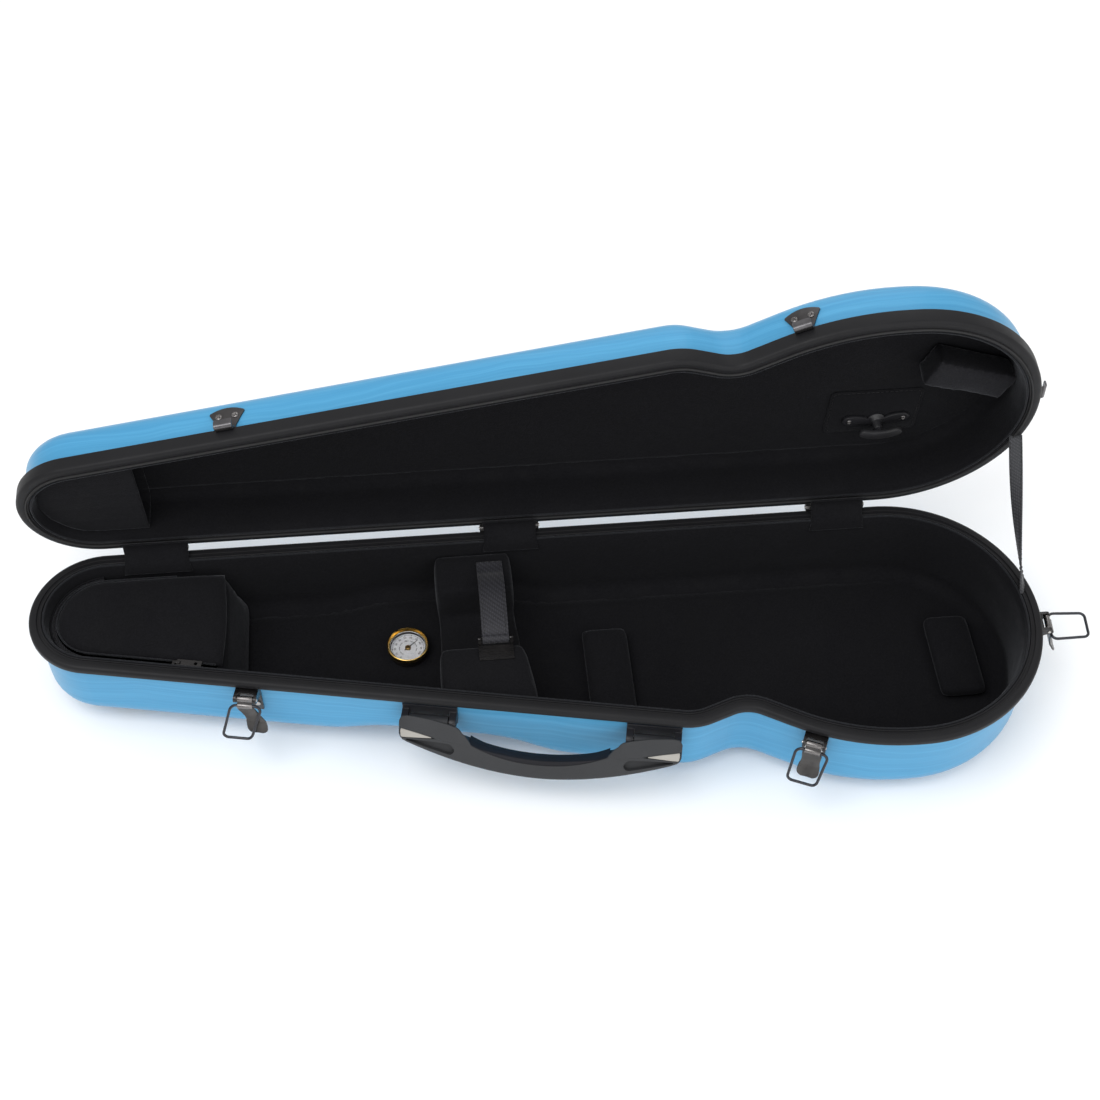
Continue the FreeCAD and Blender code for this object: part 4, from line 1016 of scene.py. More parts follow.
# ------------------------------------------------------------------ plush covers over the three hinges
def hinge_cover(k, x):
    w2 = 22.5 if k else 27.0
    sec = [(-15.3, -9.6), (-14.6, -6.2), (-13.6, -2.6), (-11.6, 0.7), (-9.2, 2.0), (-7.0, 4.2), (-4.6, 8.0), (-3.4, 12.2), (-4.4, 15.2), (-6.2, 16.6)]
    S = catmull([Vector((0, y, z)) for y, z in sec], 4)
    verts, faces = [], []
    nxs = 13
    n = len(S)
    for side in (0, 1):
        for i, s in enumerate(S):
            t = (S[min(i + 1, n - 1)] - S[max(i - 1, 0)]).normalized()
            nn = Vector((0, -t.z, t.y))
            for j in range(nxs):
                u = -1 + 2 * j / (nxs - 1)
                pin = 1 - 0.07 * math.sin(math.pi * i / (n - 1))
                bul = 0.5 * (1 - u ** 4) * math.sin(math.pi * i / (n - 1)) + 0.18 * nz(x + u * w2, s.y * 3 + s.z * 2, 9, k)
                p = s + nn * (bul if side == 0 else -0.9)
                verts.append(D((x + u * w2 * pin, p.y, p.z)))
    N = n * nxs
    for i in range(n - 1):
        for j in range(nxs - 1):
            a = i * nxs + j
            faces.append((a, a + 1, a + nxs + 1, a + nxs)); b = a + N
            faces.append((b, b + nxs, b + nxs + 1, b + 1))
    for i in range(n - 1):
        for j in (0, nxs - 1):
            a = i * nxs + j
            faces.append((a, a + nxs, a + nxs + N, a + N))
    for i in (0, n - 1):
        for j in range(nxs - 1):
            a = i * nxs + j
            faces.append((a, a + 1, a + 1 + N, a + N))
    return obj_from("hc%d" % k, verts, faces, mat=m_plush)


o = join("hinge_plush_covers", [hinge_cover(k, x) for k, x in enumerate(HINGE_X)])
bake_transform(o)
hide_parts("hinge_covers")

# ------------------------------------------------------------------ hardware frames on the walls
def wall_frame(k):
    """(point on the shell wall, outward normal, wall radius) of latch k"""
    if k == "a":
        n = FRONT_N
        return (-242.0, front_y(-242.0)), n, 0.0
    cx, cy, R, a = {"b": (CVX, CVY, 179.5, -113.5), "c": (261.0, Y1 + 115.0, 109.5, -5.0)}[k]
    n = (math.cos(math.radians(a)), math.sin(math.radians(a)))
    return (cx + n[0] * R, cy + n[1] * R), n, R


_tn = math.atan2(-184.0 - Y1, 207.1 - 133.4)
CVX, CVY = 207.1 + 185.0 * math.tan(_tn / 2), Y1 + 185.0
_fl = math.hypot(94.3 - X0, -198.1 + 101.25)
FRONT_N = (-(198.1 - 101.25) / _fl * 1.0, -(94.3 - X0) / _fl)


def front_y(x, d=5.5):
    return -198.1 + (x - 94.3) / (X0 - 94.3) * (198.1 - 101.25) + d / abs(FRONT_N[1])


def wall_map(p, n):
    """local (x along the wall, y outwards, z up) -> design frame"""
    return lambda q: Vector((p[0] + n[1] * q[0] + n[0] * q[1], p[1] - n[0] * q[0] + n[1] * q[1], q[2]))


def tilt(q, deg, y0, z0):
    c, s = math.cos(math.radians(deg)), math.sin(math.radians(deg))
    y, z = q[1] - y0, q[2] - z0
    return Vector((q[0], y0 + y * c - z * s, z0 + y * s + z * c))


def loft(name, loops, xf, mat=None, cap=True):
    verts, faces, m = [], [], len(loops[0])
    for L in loops:
        verts += [xf(q) for q in L]
    for i in range(len(loops) - 1):
        for j in range(m):
            k = (j + 1) % m
            faces.append((i * m + j, i * m + k, (i + 1) * m + k, (i + 1) * m + j))
    if cap:
        faces.append(tuple(range(m))[::-1]); faces.append(tuple((len(loops) - 1) * m + j for j in range(m)))
    return obj_from(name, verts, faces, mat=mat)


def prism_y(name, pts, y0, y1, xf, mat=None, ysag=None, rnd=0.25):
    """plate with outline pts (x, z) from y0 to y1 along the local y, softened rims"""
    n = len(pts)
    cx = sum(p[0] for p in pts) / n; cz = sum(p[1] for p in pts) / n
    s = ysag or (lambda x: 0.0)
    loops = []
    A = sum(pts[i][0] * pts[(i + 1) % n][1] - pts[(i + 1) % n][0] * pts[i][1] for i in range(n))
    sg = 1 if A > 0 else -1
    def off(d):
        out = []
        for i in range(n):
            a, b = pts[i - 1], pts[(i + 1) % n]
            t = norm2(b[0] - a[0], b[1] - a[1])
            out.append((pts[i][0] - sg * t[1] * d, pts[i][1] + sg * t[0] * d))
        return out
    for d, y in ((rnd, y0), (0.3 * rnd, y0 + 0.3 * rnd), (0, y0 + rnd), (0, y1 - rnd), (0.3 * rnd, y1 - 0.3 * rnd), (rnd, y1)):
        loops.append([(x, y + s(x), z) for x, z in off(d)])
    return loft(name, loops, xf, mat)


def lathe(name, prof, xf, seg=32, mat=None, close=False):
    """prof: [(r, h)] turned about the local axis; xf maps (x, y, h)"""
    verts, faces, m = [], [], len(prof)
    for i in range(seg):
        a = 2 * math.pi * i / seg
        for r, h in prof:
            verts.append(xf(Vector((r * math.cos(a), r * math.sin(a), h))))
    for i in range(seg):
        k = (i + 1) % seg
        for j in range(m if close else m - 1):
            l = (j + 1) % m
            faces.append((i * m + j, k * m + j, k * m + l, i * m + l))
    if not close:
        faces.append(tuple(i * m for i in range(seg))[::-1]); faces.append(tuple(i * m + m - 1 for i in range(seg)))
    return obj_from(name, verts, faces, mat=mat)


def boolean(o, cut, op="DIFFERENCE"):
    b = mod(o, "BOOLEAN", operation=op, object=cut, solver="EXACT")
    apply_mods(o)
    bpy.data.objects.remove(cut)
    return o


def screw_head(r, h, mat):
    """pan head with a cross recess, axis +z, seat at z = 0, in mm, kept as plain vertex data"""
    prof = [(r, -0.3), (r, 0.12 * h)] + [(r * math.cos(a) ** 0.75, h * (0.12 + 0.88 * math.sin(a))) for a in [math.radians(q) for q in (20, 40, 58, 72)]]
    o = lathe("scr", prof, lambda q: q, 28)
    w, l = 0.17 * r, 0.62 * r
    P = [(w, w), (w, l), (-w, l), (-w, w), (-l, w), (-l, -w), (-w, -w), (-w, -l), (w, -l), (w, -w), (l, -w), (l, w)]
    c = obj_from("cut", [(x, y, z) for z in (0.35 * h, 3 * h) for x, y in P], [tuple(range(12))[::-1], tuple(range(12, 24))] + [(i, (i + 1) % 12, 12 + (i + 1) % 12, 12 + i) for i in range(12)])
    boolean(o, c)
    V_ = [v.co.copy() for v in o.data.vertices]; F_ = [tuple(p.vertices) for p in o.data.polygons]
    bpy.data.objects.remove(o)
    return V_, F_, mat


def place(name, tmpl, xf):
    V_, F_, mat = tmpl
    o = obj_from(name, [xf(v) for v in V_], F_, mat=mat)
    return sharp(o, 32)


scr_big = screw_head(2.7, 1.15, m_brl)
scr_hand = screw_head(2.7, 1.2, m_blk2)
scr_hold = screw_head(2.2, 0.9, m_brl)

# ------------------------------------------------------------------ draw latches
LA_N, LA_Z, BB_V, BB_W, BAIL_L = 12.5, -10.5, 5.5, 1.5, 29.5
_c, _s = math.cos(math.radians(14.0)), math.sin(math.radians(14.0))
BY, BZ = LA_N + BB_W * _c + BB_V * _s, LA_Z + BB_W * _s - BB_V * _c
for k in "abc":
    p, n, Rw = wall_frame(k)
    W = wall_map(p, n)
    # lever: two rolled barrels and a waisted tongue ending in a spoon
    T = lambda q: D(W(tilt(q, 14.0, LA_N, LA_Z)))
    skew = 1.0 if k == "a" else 0.12
    L = []
    for z, yc, th, hl, hr, sh in ((-5.0, 1.45, 1.3, 6.0, 6.0, 0.0), (-6.6, 1.5, 1.3, 6.1, 6.1, 0.0), (-8.2, 1.3, 1.3, 7.0, 7.0, -0.4), (-10.5, 1.0, 1.2, 7.2, 7.0, -1.4), (-13.5, 0.6, 1.2, 7.0, 6.6, -3.2), (-16.5, 0.4, 1.2, 6.9, 6.5, -5.0),
                                  (-19.0, 0.35, 1.25, 7.2, 6.9, -6.4), (-20.6, 0.4, 1.3, 7.6, 7.4, -7.1), (-21.6, 0.75, 1.3, 7.8, 7.6, -7.4), (-22.6, 1.15, 1.2, 7.9, 7.8, -7.7), (-25.0, 1.75, 1.2, 8.0, 8.0, -8.2), (-27.4, 2.5, 1.2, 7.9, 7.9, -8.6), (-28.8, 3.0, 1.15, 7.2, 7.2, -8.8), (-29.7, 3.35, 1.1, 6.0, 6.0, -8.9), (-30.2, 3.6, 0.9, 4.4, 4.4, -8.9)):
        x0, x1 = -hl + sh * skew, hr + sh * skew
        if k != "a":
            x0, x1 = -(hl + 0.4), hr + 0.4
        y = LA_N + yc; z = LA_Z + z; e = 0.42 * th
        L.append([(x0 + e, y - th / 2, z), ((x0 + x1) / 2, y - th / 2 - 0.12, z), (x1 - e, y - th / 2, z), (x1, y - 0.15, z), (x1, y + 0.15, z), (x1 - e, y + th / 2, z), ((x0 + x1) / 2, y + th / 2 + (-0.25 if z - LA_Z < -20 else 0.1), z), (x0 + e, y + th / 2, z), (x0, y + 0.15, z), (x0, y - 0.15, z)])
    tongue = loft("t", L, T, m_blk2)
    barrels = []
    for (y0, z0, r) in ((LA_N, LA_Z, 2.45), (LA_N + BB_W, LA_Z - BB_V, 2.3)):
        rows = [[(x, y0 + rr * math.cos(a), z0 + rr * math.sin(a)) for a in [2 * math.pi * q / 24 for q in range(24)]] for x, rr in ((-6.0, 1.32), (-6.0, r - 0.35), (-5.85, r - 0.1), (-5.6, r), (5.6, r), (5.85, r - 0.1), (6.0, r - 0.35), (6.0, 1.32))]
        barrels.append(loft("b", rows, T, m_brl, cap=True))
    # flange between the barrels and the rolled seam line
    web = loft("w", [[(x, LA_N + y, LA_Z + z) for y, z in rounded([(-1.0, -1.2, 0.2), (1.5, -1.0, 0.3), (3.0, -5.0, 0.3), (0.2, -5.8, 0.3)], True, 2)] for x in (-5.9, 5.9)], T, m_blk2)
    o = join("lever_tongue_" + k, [tongue] + barrels + [web])
    sharp(o, 38)
    done(o, "latch_lever_" + k, "latch_lever_" + k, slot="steel_black")
    # bail: one bent wire loop, shoulders at the barrel, slightly tapered
    rot = {"a": 25.0, "b": 25.0, "c": 90.0}[k]
    TB = lambda q: D(W(tilt(q, rot, BY, BZ)))
    wl, wr = (12.3, 11.4) if k == "a" else (12.3, 12.3)
    P2 = rounded([(-wl, 0.0, 4.8), (wr, 0.0, 4.8), (11.2, -BAIL_L, 4.2), (-11.2, -BAIL_L, 4.2)], True, 7)
    lean = {"a": 6.5, "b": 2.5, "c": -1.5}[k]
    pts = [TB(Vector((x + lean * min(1.0, max(0.0, (-z - 1.5) / 26.0)), BY + 0.3 * math.sin(math.pi * min(1.0, -z / BAIL_L)), BZ + z))) for x, z in P2]
    P3 = []
    for i, q in enumerate(pts):
        r = pts[(i + 1) % len(pts)]
        m_ = max(1, int((r - q).length / 0.0035))
        P3 += [q.lerp(r, j / m_) for j in range(m_)]
    o = tube("bail_wire_" + k, P3, 0.00112, 12, closed=True)
    done(o, "latch_bail_" + k, "latch_bail_" + k, slot="steel_black", mat=m_wire)
    # strike: fan plate, hook lip and two cross-recess screws on the lid
    sag = (lambda x: 0.0) if Rw == 0 else (lambda x, R=Rw: math.sqrt(R * R - min(x * x, R * R)) - R)
    LW = lambda q: LD(W(q))
    arc = [(13.2 * math.sin(math.radians(a)), 36.0 - 3.6 * (math.sin(math.radians(a)) ** 2)) for a in (-90, -72, -54, -36, -18, 0, 18, 36, 54, 72, 90)]
    fan = [(-7.0, 15.8), (-7.0, 18.6), (-8.2, 21.0), (-10.6, 26.0), (-12.9, 30.2), (-13.5, 31.3)] + arc + [(13.5, 31.3), (12.9, 30.2), (10.6, 26.0), (8.2, 21.0), (7.0, 18.6), (7.0, 15.8)]
    fan = [q for i, q in enumerate(fan) if i == 0 or math.hypot(q[0] - fan[i - 1][0], q[1] - fan[i - 1][1]) > 0.3]
    plate = prism_y("f", fan, 0.02, 1.4, LW, m_strike, ysag=sag)
    path = [Vector((0, y, z)) for y, z in ((0.75, 20.0), (0.75, 17.0), (1.4, 15.4), (3.0, 15.0), (5.2, 14.9), (6.35, 14.0), (6.4, 12.3), (7.3, 11.4), (9.6, 11.35), (11.0, 11.8), (11.6, 13.2), (11.6, 17.3))]
    path = catmull(path, 3)
    rows = []
    for i, c in enumerate(path):
        t = (path[min(i + 1, len(path) - 1)] - path[max(i - 1, 0)]).normalized()
        nn = Vector((0, -t.z, t.y))
        hw = 6.95 - (0.5 if i == len(path) - 1 else 0.0)
        rows.append([(x, (c + nn * a).y, (c + nn * a).z) for x, a in ((-hw, -0.45), (-hw + 0.25, -0.68), (hw - 0.25, -0.68), (hw, -0.45), (hw, 0.45), (hw - 0.25, 0.68), (-hw + 0.25, 0.68), (-hw, 0.45))])
    cutp = next(i for i, c in enumerate(path) if c.y > 9.4)
    lip = [loft("l", rows[:cutp + 1], LW, m_strike), loft("l", rows[cutp:], LW, m_lip)]
    o = join("strike_fan_" + k, [plate] + lip); sharp(o, 38)
    done(o, "lid", "strike_plate_" + k, slot="steel_black")
    scr_ = [place("s", scr_big, (lambda q, sx=sx, ang=ang: LW(Vector((sx + q.x * math.cos(ang) - q.y * math.sin(ang), 1.38 + sag(sx) + q.z, 28.0 + q.x * math.sin(ang) + q.y * math.cos(ang)))))) for sx, ang in ((-6.3, 0.3), (6.3, 0.9))]
    strike_scr = (strike_scr if k != "a" else []) + scr_
o = join("strike_screw_set", strike_scr)
done(o, "lid", "strike_screws", slot="steel_bright")

# ------------------------------------------------------------------ carrying handle
h0 = (-21.0, front_y(-21.0))
WH = wall_map(h0, FRONT_N)
HN, HZP, HHALF, HL = 10.0, -22.0, 85.526, 107.5


def HT(q):
    """(u along, w across, -v) of the handle -> part frame"""
    return D(WH(tilt(Vector((q[0], HN + q[1], HZP + q[2])), 30.0, HN, HZP)))


def interp(u, T):
    return float(np.interp(abs(u), [t[0] for t in T], [t[1] for t in T]))


def v_out(u):
    return 38.0 - 24.2 * (abs(u) / HL) ** 1.9 if abs(u) < 101 else interp(u, [(101, 16.5), (104.5, 14.9), (106.5, 13.0), (107.5, 10.8)])


def v_in(u):
    return 21.8 - 10.2 * (abs(u) / 60.5) ** 2


def v_split(u):
    return 25.4 - 11.7 * (abs(u) / 51.5) ** 2.2


VT = [(51.6, 13.9), (54, 10.2), (56.4, 7.0), (59.3, 4.6), (61.0, 2.0), (63, 0.3), (70, -1.9), (83, -4.8), (95, -6.2), (101, -6.6), (104.5, -6.0), (106.5, -4.0), (107.5, -1.2)]
V8 = [(51.6, 14.4), (56.4, 12.9), (62, 11.2), (66, 9.4), (70, 8.4), (101, 8.2), (107.5, 8.4)]
CR = [(51.6, 15.0), (60, 13.6), (74, 11.3), (92, 5.4), (105, 2.3), (107.5, 2.2)]
RG = [(51.6, 0.05), (62, 0.55), (100, 0.8), (107.5, 0.3)]


def hand_section(u):
    a = abs(u)
    hw = 7.0 if a < 101 else interp(a, [(101, 7.0), (104.5, 6.8), (106.5, 6.2), (107.5, 5.2)])
    vo = v_out(u)
    if a < 51.5:
        s = v_split(u) + 0.35
        C = [(vo, -hw, 3.0), (vo, hw, 2.6), (s + 2.2, hw, 0.2), (s + 1.2, hw, 0.2), (s, hw - 0.15, 0.9), (s, 5.2, 0.2), (s + 0.12, 5.0, 0.2), (s + 0.12, -hw, 1.2)]
    else:
        vt, v8, cr, rg = interp(a, VT), interp(a, V8), interp(a, CR), interp(a, RG)
        cr = max(cr, vt + 0.8)
        wf = hw
        C = [(vo, -hw, 3.0), (vo, wf, 2.6), (cr + 0.9, wf, 0.2), (cr, wf + rg, 0.25), (vt, wf - 0.1, 0.9), (vt, min(5.35, wf - 1.0), 0.3), (v8, min(5.3, wf - 1.05), 0.4), (v8 + 0.05, -hw, 1.6)]
    return [(u, w, -v) for v, w in rounded([(v, w, r) for v, w, r in C], True, 3)]


us = sorted(set([0.0] + [s * q for s in (-1, 1) for q in (4, 8, 12, 16, 20, 24, 28, 32, 36, 40, 44, 48, 51.4, 51.6, 54, 56.4, 59.3, 61, 63, 66, 70, 74, 78, 83, 88, 92, 95, 98, 101, 103, 104.5, 105.6, 106.5, 107.1, 107.5)]))
body = loft("hb", [hand_section(u) for u in us], HT)
cut = []
for s in (-1, 1):
    rec = rounded([(s * 101.6, 12.9, 0.5), (s * 84, 13.5, 6), (s * 67.5, 14.4, 4.6), (s * 64.0, 19.6, 2.5), (s * 66.5, 24.0, 3.6), (s * 81, 20.1, 8), (s * 101.6, 14.1, 0.4)], True, 4)
    cut.append(loft("c", [[(u, w, -v) for u, v in rec] for w in (3.0, 10.0)], HT))
    wd_ = [(s * 78.0, 11.2), (s * 92.0, 7.1), (s * 112.0, 3.0), (s * 112.0, 12.25), (s * 103.0, 12.1)]
    cut.append(loft("c", [[(u, w, -v) for u, v in wd_] for w in (4.9, 10.0)], HT))
cut = join("cut", cut)
bpy.context.view_layer.update()
boolean(body, cut)
body.data.materials.clear(); body.data.materials.append(m_hand)
parts_ = [body]
for s in (-1, 1):
    kn = [(w, -v) for v, w in rounded([(9.2, -5.0, 0.2)] + [(5.25 * math.sin(a), 5.25 * math.cos(a), 0.0) for a in [math.radians(q) for q in range(180, -181 + 180, -15)]][::-1][::-1] + [(9.2, 5.0, 0.2)], True, 2)]
    kn = [(5.0 * (1 if w > 0 else -1), z) if z < -1.0 and abs(w) > 4.9 else (w, z) for w, z in kn]
    circ = [(5.2 * math.cos(math.radians(q)), 5.2 * math.sin(math.radians(q))) for q in range(0, 181, 12)] + [(-5.2, -9.6), (5.2, -9.6)]
    parts_.append(loft("k", [[(u, w * f, z * f if z > 0 else z) for w, z in circ] for u, f in ((s * 70.6, 0.93), (s * 71.1, 1.0), (s * 99.9, 1.0), (s * 100.4, 0.93))], HT, m_hand_d))
o = join("handle_body", parts_); sharp(o, 34)
done(o, "handle", "handle_grip", slot="handle_grey")


def soft_section(u):
    vi, s = v_in(u) + 0.0, v_split(u)
    vi = min(vi, s - 0.5)
    C = [(s, -6.7, 0.3), (s, 6.75, 0.25), (s - 0.35, 6.95, 0.2), (max(vi + 0.2, s - 3.3), 6.9, 1.2), (vi - 0.15, 4.6, 2.2), (vi - 0.4, 0.0, 2.0), (vi, -5.6, 2.6), (min(vi + 2.6, s - 0.2), -6.8, 1.0)]
    return [(u, w, -v) for v, w in rounded(C, True, 3)]


us2 = [-53.5 + 107.0 * i / 42 for i in range(43)]
o = loft("handle_soft_pad", [soft_section(u) for u in us2], HT); sharp(o, 50)
done(o, "handle", "handle_soft_insert", slot="handle_soft", mat=m_soft)
wed = []
for s in (-1, 1):
    P_ = rounded([(s * 80.0, 10.85, 0.4), (s * 93.0, 7.5, 6.0), (s * 105.9, 4.5, 0.9), (s * 106.2, 7.0, 1.0), (s * 105.8, 11.75, 0.9), (s * 101.0, 11.9, 1.0)], True, 3)
    wed.append(loft("w", [[((cx_ + (u - cx_) * f), w, -(7.5 + (v - 7.5) * f)) for u, v in P_] for w, f, cx_ in ((4.95, 0.985, s * 96), (6.2, 1.0, s * 96), (6.55, 0.985, s * 96), (6.7, 0.95, s * 96))], HT))
o = join("handle_wedges", wed); sharp(o, 40)
done(o, "handle", "handle_inserts", slot="insert_grey", mat=m_ins)
# bracket screws
hs = []
for s in (1, -1):
    for q in (-1, 1):
        hs.append(place("s", scr_hand, (lambda v, c=s * HHALF + q * 9.0: D(WH(Vector((c + v.x, 2.98 + v.z, -30.2 + v.y)))))))
o = join("handle_screw_set", hs)
done(o, "base", "handle_screws", slot="steel_bright")

# ------------------------------------------------------------------ bow holder on the lid ceiling
HZC = CEIL - 1.35
LC = lambda q: LD(q)


def flat_piece(name, pts, z0, z1, mat, rnd=0.5):
    """outline pts (x, y) on the lid ceiling between heights z0 (ceiling side) and z1 (towards the case)"""
    return prism_y(name, pts, 0.0, abs(z1 - z0), lambda q: LD((q[0], q[2], z0 - q[1] * (1 if z1 < z0 else -1))), mat, rnd=rnd)


def stroke(path, radii, n=8):
    """outline of a tapering stroke"""
    P = catmull([Vector((x, y, 0)) for x, y in path], 6)
    R = list(np.interp(np.linspace(0, 1, len(P)), np.linspace(0, 1, len(radii)), radii))
    l, r = [], []
    for i, c in enumerate(P):
        t = (P[min(i + 1, len(P) - 1)] - P[max(i - 1, 0)]).normalized()
        nn = Vector((-t.y, t.x, 0))
        l.append(c + nn * R[i]); r.append(c - nn * R[i])
    t0 = (P[1] - P[0]).normalized(); t1 = (P[-1] - P[-2]).normalized()
    def cap(c, t, rad):
        a0 = math.atan2(t.y, t.x)
        return [c + Vector((math.cos(a0 + a), math.sin(a0 + a), 0)) * rad for a in [math.radians(q) for q in range(-75, 76, 15)]]
    out = [(p.x, p.y) for p in r] + [(p.x, p.y) for p in cap(P[-1], t1, R[-1])] + [(p.x, p.y) for p in reversed(l)] + [(p.x, p.y) for p in cap(P[0], -t0, R[0])]
    return out


ears = []
for path, rad in (([(243.0, -61.5), (248.0, -61.8), (254.0, -60.8), (259.5, -57.5), (263.0, -54.5)], [5.3, 5.2, 4.4, 3.0, 1.4]), ([(286.5, -63.5), (281.5, -63.5), (276.0, -62.2), (271.0, -59.5), (267.5, -56.0)], [5.3, 5.2, 4.2, 2.8, 1.4])):
    ears.append(flat_piece("e", stroke(path, rad), HZC, HZC - 3.0, m_holder, 0.9))
post = lathe("p", [(7.2, 0.0), (7.2, 1.6), (6.4, 2.4), (4.4, 3.2), (3.6, 4.6), (3.4, 10.6), (3.1, 11.1), (2.7, 11.1)], lambda q: LD((265.0 + q.x, -61.0 + q.y, HZC - q.z)), 32, m_holder)
o = join("bow_holder_ears", ears + [post]); sharp(o, 40)
done(o, "lid", "bow_holder_base", slot="handle_soft")
hs = [place("s", scr_hold, (lambda v, c=c: LD((c[0] + v.x, c[1] + v.y, HZC - 2.95 - v.z)))) for c in ((243.0, -61.5), (286.5, -63.5))]
o = join("bow_holder_screw_set", hs)
done(o, "lid", "bow_holder_screws", slot="steel_bright")
pd = flat_piece("pd", stroke([(253.5, -60.0), (259.0, -58.4), (266.0, -57.9), (273.5, -58.8), (279.5, -61.2)], [4.1, 4.3, 4.4, 4.3, 4.1]), HZC - 12.0, HZC - 16.0, m_padl, 1.3)
pin_ = lathe("pp", [(2.45, 1.7), (2.45, 12.5)], lambda q: LD((265.0 + q.x, -61.0 + q.y, HZC - q.z)), 24, m_holder)
o = join("bow_holder_lever", [pd, pin_]); sharp(o, 40)
done(o, "bow_paddle", "bow_holder_paddle", slot="handle_soft")
# patch under it: thin plush square with a stitched edge
pp = rounded([(224, -97, 5), (299, -97, 5), (299, -45, 5), (224, -45, 5)], True, 5)
pt = flat_piece("pt", pp, CEIL - 0.2, CEIL - 1.3, m_plush, 0.45)
ring_ = [Vector((x, y, 0)) for x, y in rounded([(226.2, -94.8, 4), (296.8, -94.8, 4), (296.8, -47.2, 4), (226.2, -47.2, 4)], True, 5)]
ring_.append(ring_[0].copy())
st_ = stitches("pts", ring_, Vector((0, 0, 1)), (0.0,), 0.0, xf=lambda q: LD((q.x, q.y, CEIL - 1.42)), mat=m_thread, length=2.6, gap=1.2, r=0.00022)
o = join("bow_holder_felt", [pt, st_])
done(o, "lid", "bow_holder_patch", slot="plush_black")

# ------------------------------------------------------------------ hygrometer
GX, GY, GZ = -120.5, -76.0, -63.5 + 8.45 + 0.35
G = lambda q: D((GX + q[0], GY + q[1], GZ + q[2]))
bz = lathe("hygro_bezel", [(15.5, 6.0), (16.2, 6.2), (16.7, 7.2), (16.8, 8.8), (16.5, 9.9), (16.0, 10.5), (15.6, 10.55), (15.3, 10.2), (14.7, 8.6), (14.3, 8.05), (14.3, 7.95), (15.5, 7.95)], G, 72, close=True)
sharp(bz, 50)
done(bz, "base", "hygrometer_bezel", slot="gold", mat=m_gold)
marks = []


def bar_(a, r0, r1, w, z0=4.02, z1=4.14):
    c, s = math.cos(a), math.sin(a)
    vs = []
    for z in (z0, z1):
        for r, q in ((r0, -w), (r1, -w), (r1, w), (r0, w)):
            vs.append(G((r * c - q * s, r * s + q * c, z)))
    return obj_from("m", vs, [(0, 3, 2, 1), (4, 5, 6, 7), (0, 1, 5, 4), (1, 2, 6, 5), (2, 3, 7, 6), (3, 0, 4, 7)], smooth=False)


def numeral(txt, a, r, size):
    cu = bpy.data.curves.new("n", "FONT")
    cu.body = txt; cu.size = size; cu.extrude = 0.06; cu.align_x = "CENTER"; cu.align_y = "CENTER"; cu.resolution_u = 2
    t = bpy.data.objects.new("n", cu); scene.collection.objects.link(t)
    bpy.context.view_layer.update()
    me = bpy.data.meshes.new_from_object(t.evaluated_get(bpy.context.evaluated_depsgraph_get()))
    vs = [v.co.copy() for v in me.vertices]; fs = [tuple(p.vertices) for p in me.polygons]
    bpy.data.objects.remove(t)
    c, s = math.cos(a - math.pi / 2), math.sin(a - math.pi / 2)
    ox, oy = r * math.cos(a), r * math.sin(a)
    return obj_from("m", [G((ox + v.x * c - v.y * s, oy + v.x * s + v.y * c, 4.08 + v.z)) for v in vs], fs, smooth=False)


a0, a1 = math.radians(222 + 12), math.radians(-42 + 12)
for i in range(51):
    a = a0 + (a1 - a0) * i / 50
    marks.append(bar_(a, 12.4 if i % 5 else 12.0, 13.1, 0.15 if i % 5 else 0.26))
for i in range(11):
    marks.append(numeral(str(i * 10), a0 + (a1 - a0) * i / 10, 10.3, 2.3))
for i in range(60):
    if i % 9 in (7, 8):
        continue
    a = a0 + (a1 - a0) * (i + 0.5) / 60
    marks.append(bar_(a, 6.6, 7.3 + 0.25 * math.sin(i * 2.3), 0.11))
marks.append(numeral("%", a0 - math.radians(48) * 1.0 + math.radians(96), -7.2, 2.2))
o = join("hygro_marks", marks)
done(o, "base", slot="needle_dark", mat=m_need)
# needle with a turned hub
nd_a = math.radians(40)
Nn = lambda q: G((q[0] * math.cos(nd_a) - q[1] * math.sin(nd_a), q[0] * math.sin(nd_a) + q[1] * math.cos(nd_a), q[2]))
n1 = loft("n", [[(x, -w, 4.95), (x, w, 4.95), (x, w, 5.2), (x, -w, 5.2)] for x, w in ((-3.6, 0.45), (-1.5, 0.32), (3.0, 0.28), (8.5, 0.2), (10.4, 0.05))], Nn, m_need)
n2 = lathe("h", [(2.4, 4.5), (2.4, 5.2), (2.0, 5.6), (1.0, 5.75)], G, 32, m_hub)
o = join("hygro_needle", [n1, n2]); sharp(o, 40)
done(o, "needle", "hygrometer_needle", slot="needle_dark")

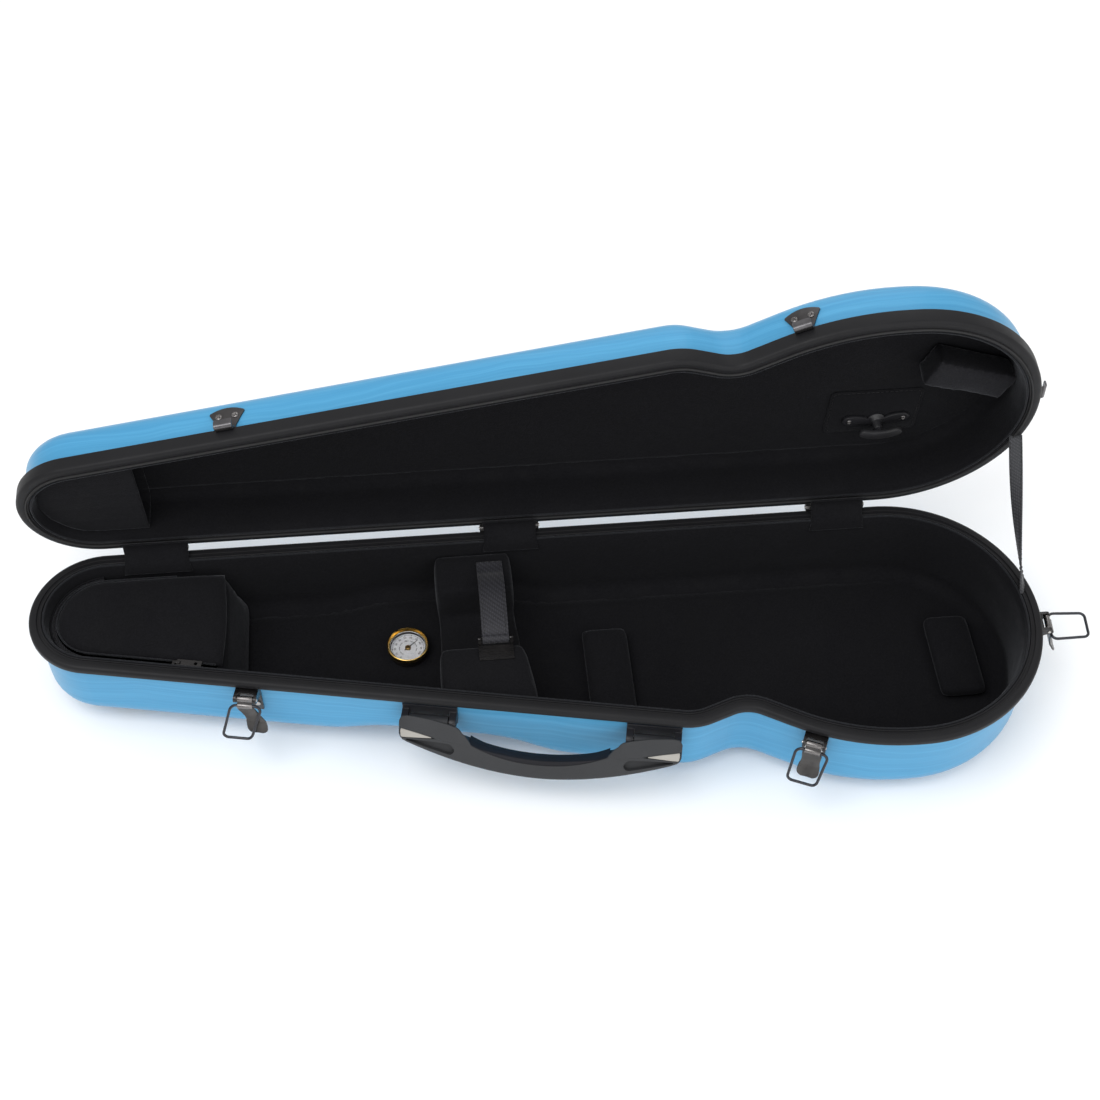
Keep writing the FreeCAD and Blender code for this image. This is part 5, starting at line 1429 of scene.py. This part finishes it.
# ------------------------------------------------------------------ hardware kept from the CAD
for nd, m, bv in (("latch_base_a", m_blk, .0003), ("latch_base_b", m_blk, .0003), ("latch_base_c", m_blk, .0003), ("latch_rivets", m_brt, .0003), ("latch_pins", m_brt, .0002),
                  ("handle_bracket_left", m_brk, .0006), ("handle_bracket_right", m_brk, .0006), ("handle_pins", m_blk2, 0),
                  ("hinge_leaves_base", m_blk2, .0002), ("hinge_leaves_lid", m_blk2, .0002), ("hinge_pins", m_brt, 0), ("hinge_rivets_base", m_brt, .0002), ("hinge_rivets_lid", m_brt, .0002),
                  ("feet", m_rub, .0004),
                  ("hygrometer_housing", m_need, .0003), ("hygrometer_dial", m_dial, .0001), ("hygrometer_lens", m_glass, 0)):
    if NODES[nd].hide_render:
        continue
    paint(nd, m, bevel=bv)

# ------------------------------------------------------------------ floor and light
me = bpy.data.meshes.new("floor")
me.from_pydata([(-6, -6, 0), (6, -6, 0), (6, 6, 0), (-6, 6, 0)], [], [(0, 1, 2, 3)])
floor = bpy.data.objects.new("floor", me)
scene.collection.objects.link(floor)
Mf = Mat("floor_pale", rough=0.6, spec=0.2)
nf_ = Mf.noise(3, 2, 0.5)
Mf.color(Mf.mixc(Mf.rng(nf_, 0.3, 0.7, 0, 1), (0.965, 0.965, 0.965, 1), (0.975, 0.975, 0.975, 1)))
me.materials.append(Mf.m)

world = bpy.data.worlds.new("World")
scene.world = world
world.use_nodes = True
world.node_tree.nodes["Background"].inputs[0].default_value = (1, 1, 1, 1)
world.node_tree.nodes["Background"].inputs[1].default_value = 0.68


def area(name, loc, target, size, power, sy=None):
    l = bpy.data.lights.new(name, "AREA")
    l.energy = power; l.size = size
    if sy:
        l.shape = "RECTANGLE"; l.size_y = sy
    o = bpy.data.objects.new(name, l)
    scene.collection.objects.link(o)
    o.location = loc
    o.rotation_mode = "QUATERNION"
    o.rotation_quaternion = (Vector(target) - Vector(loc)).to_track_quat("-Z", "Y")
    return o


area("key", (-0.9, -0.6, 2.2), (0, 0, 0.1), 1.6, 28)
area("fill", (1.5, -1.1, 1.5), (0, 0, 0.1), 1.8, 12)
area("front", (0.1, -2.2, 0.9), (0, 0, 0.08), 1.6, 10)
area("rim", (0.3, 1.6, 1.6), (0, 0, 0.15), 1.6, 8)
scene.view_settings.view_transform = "Standard"
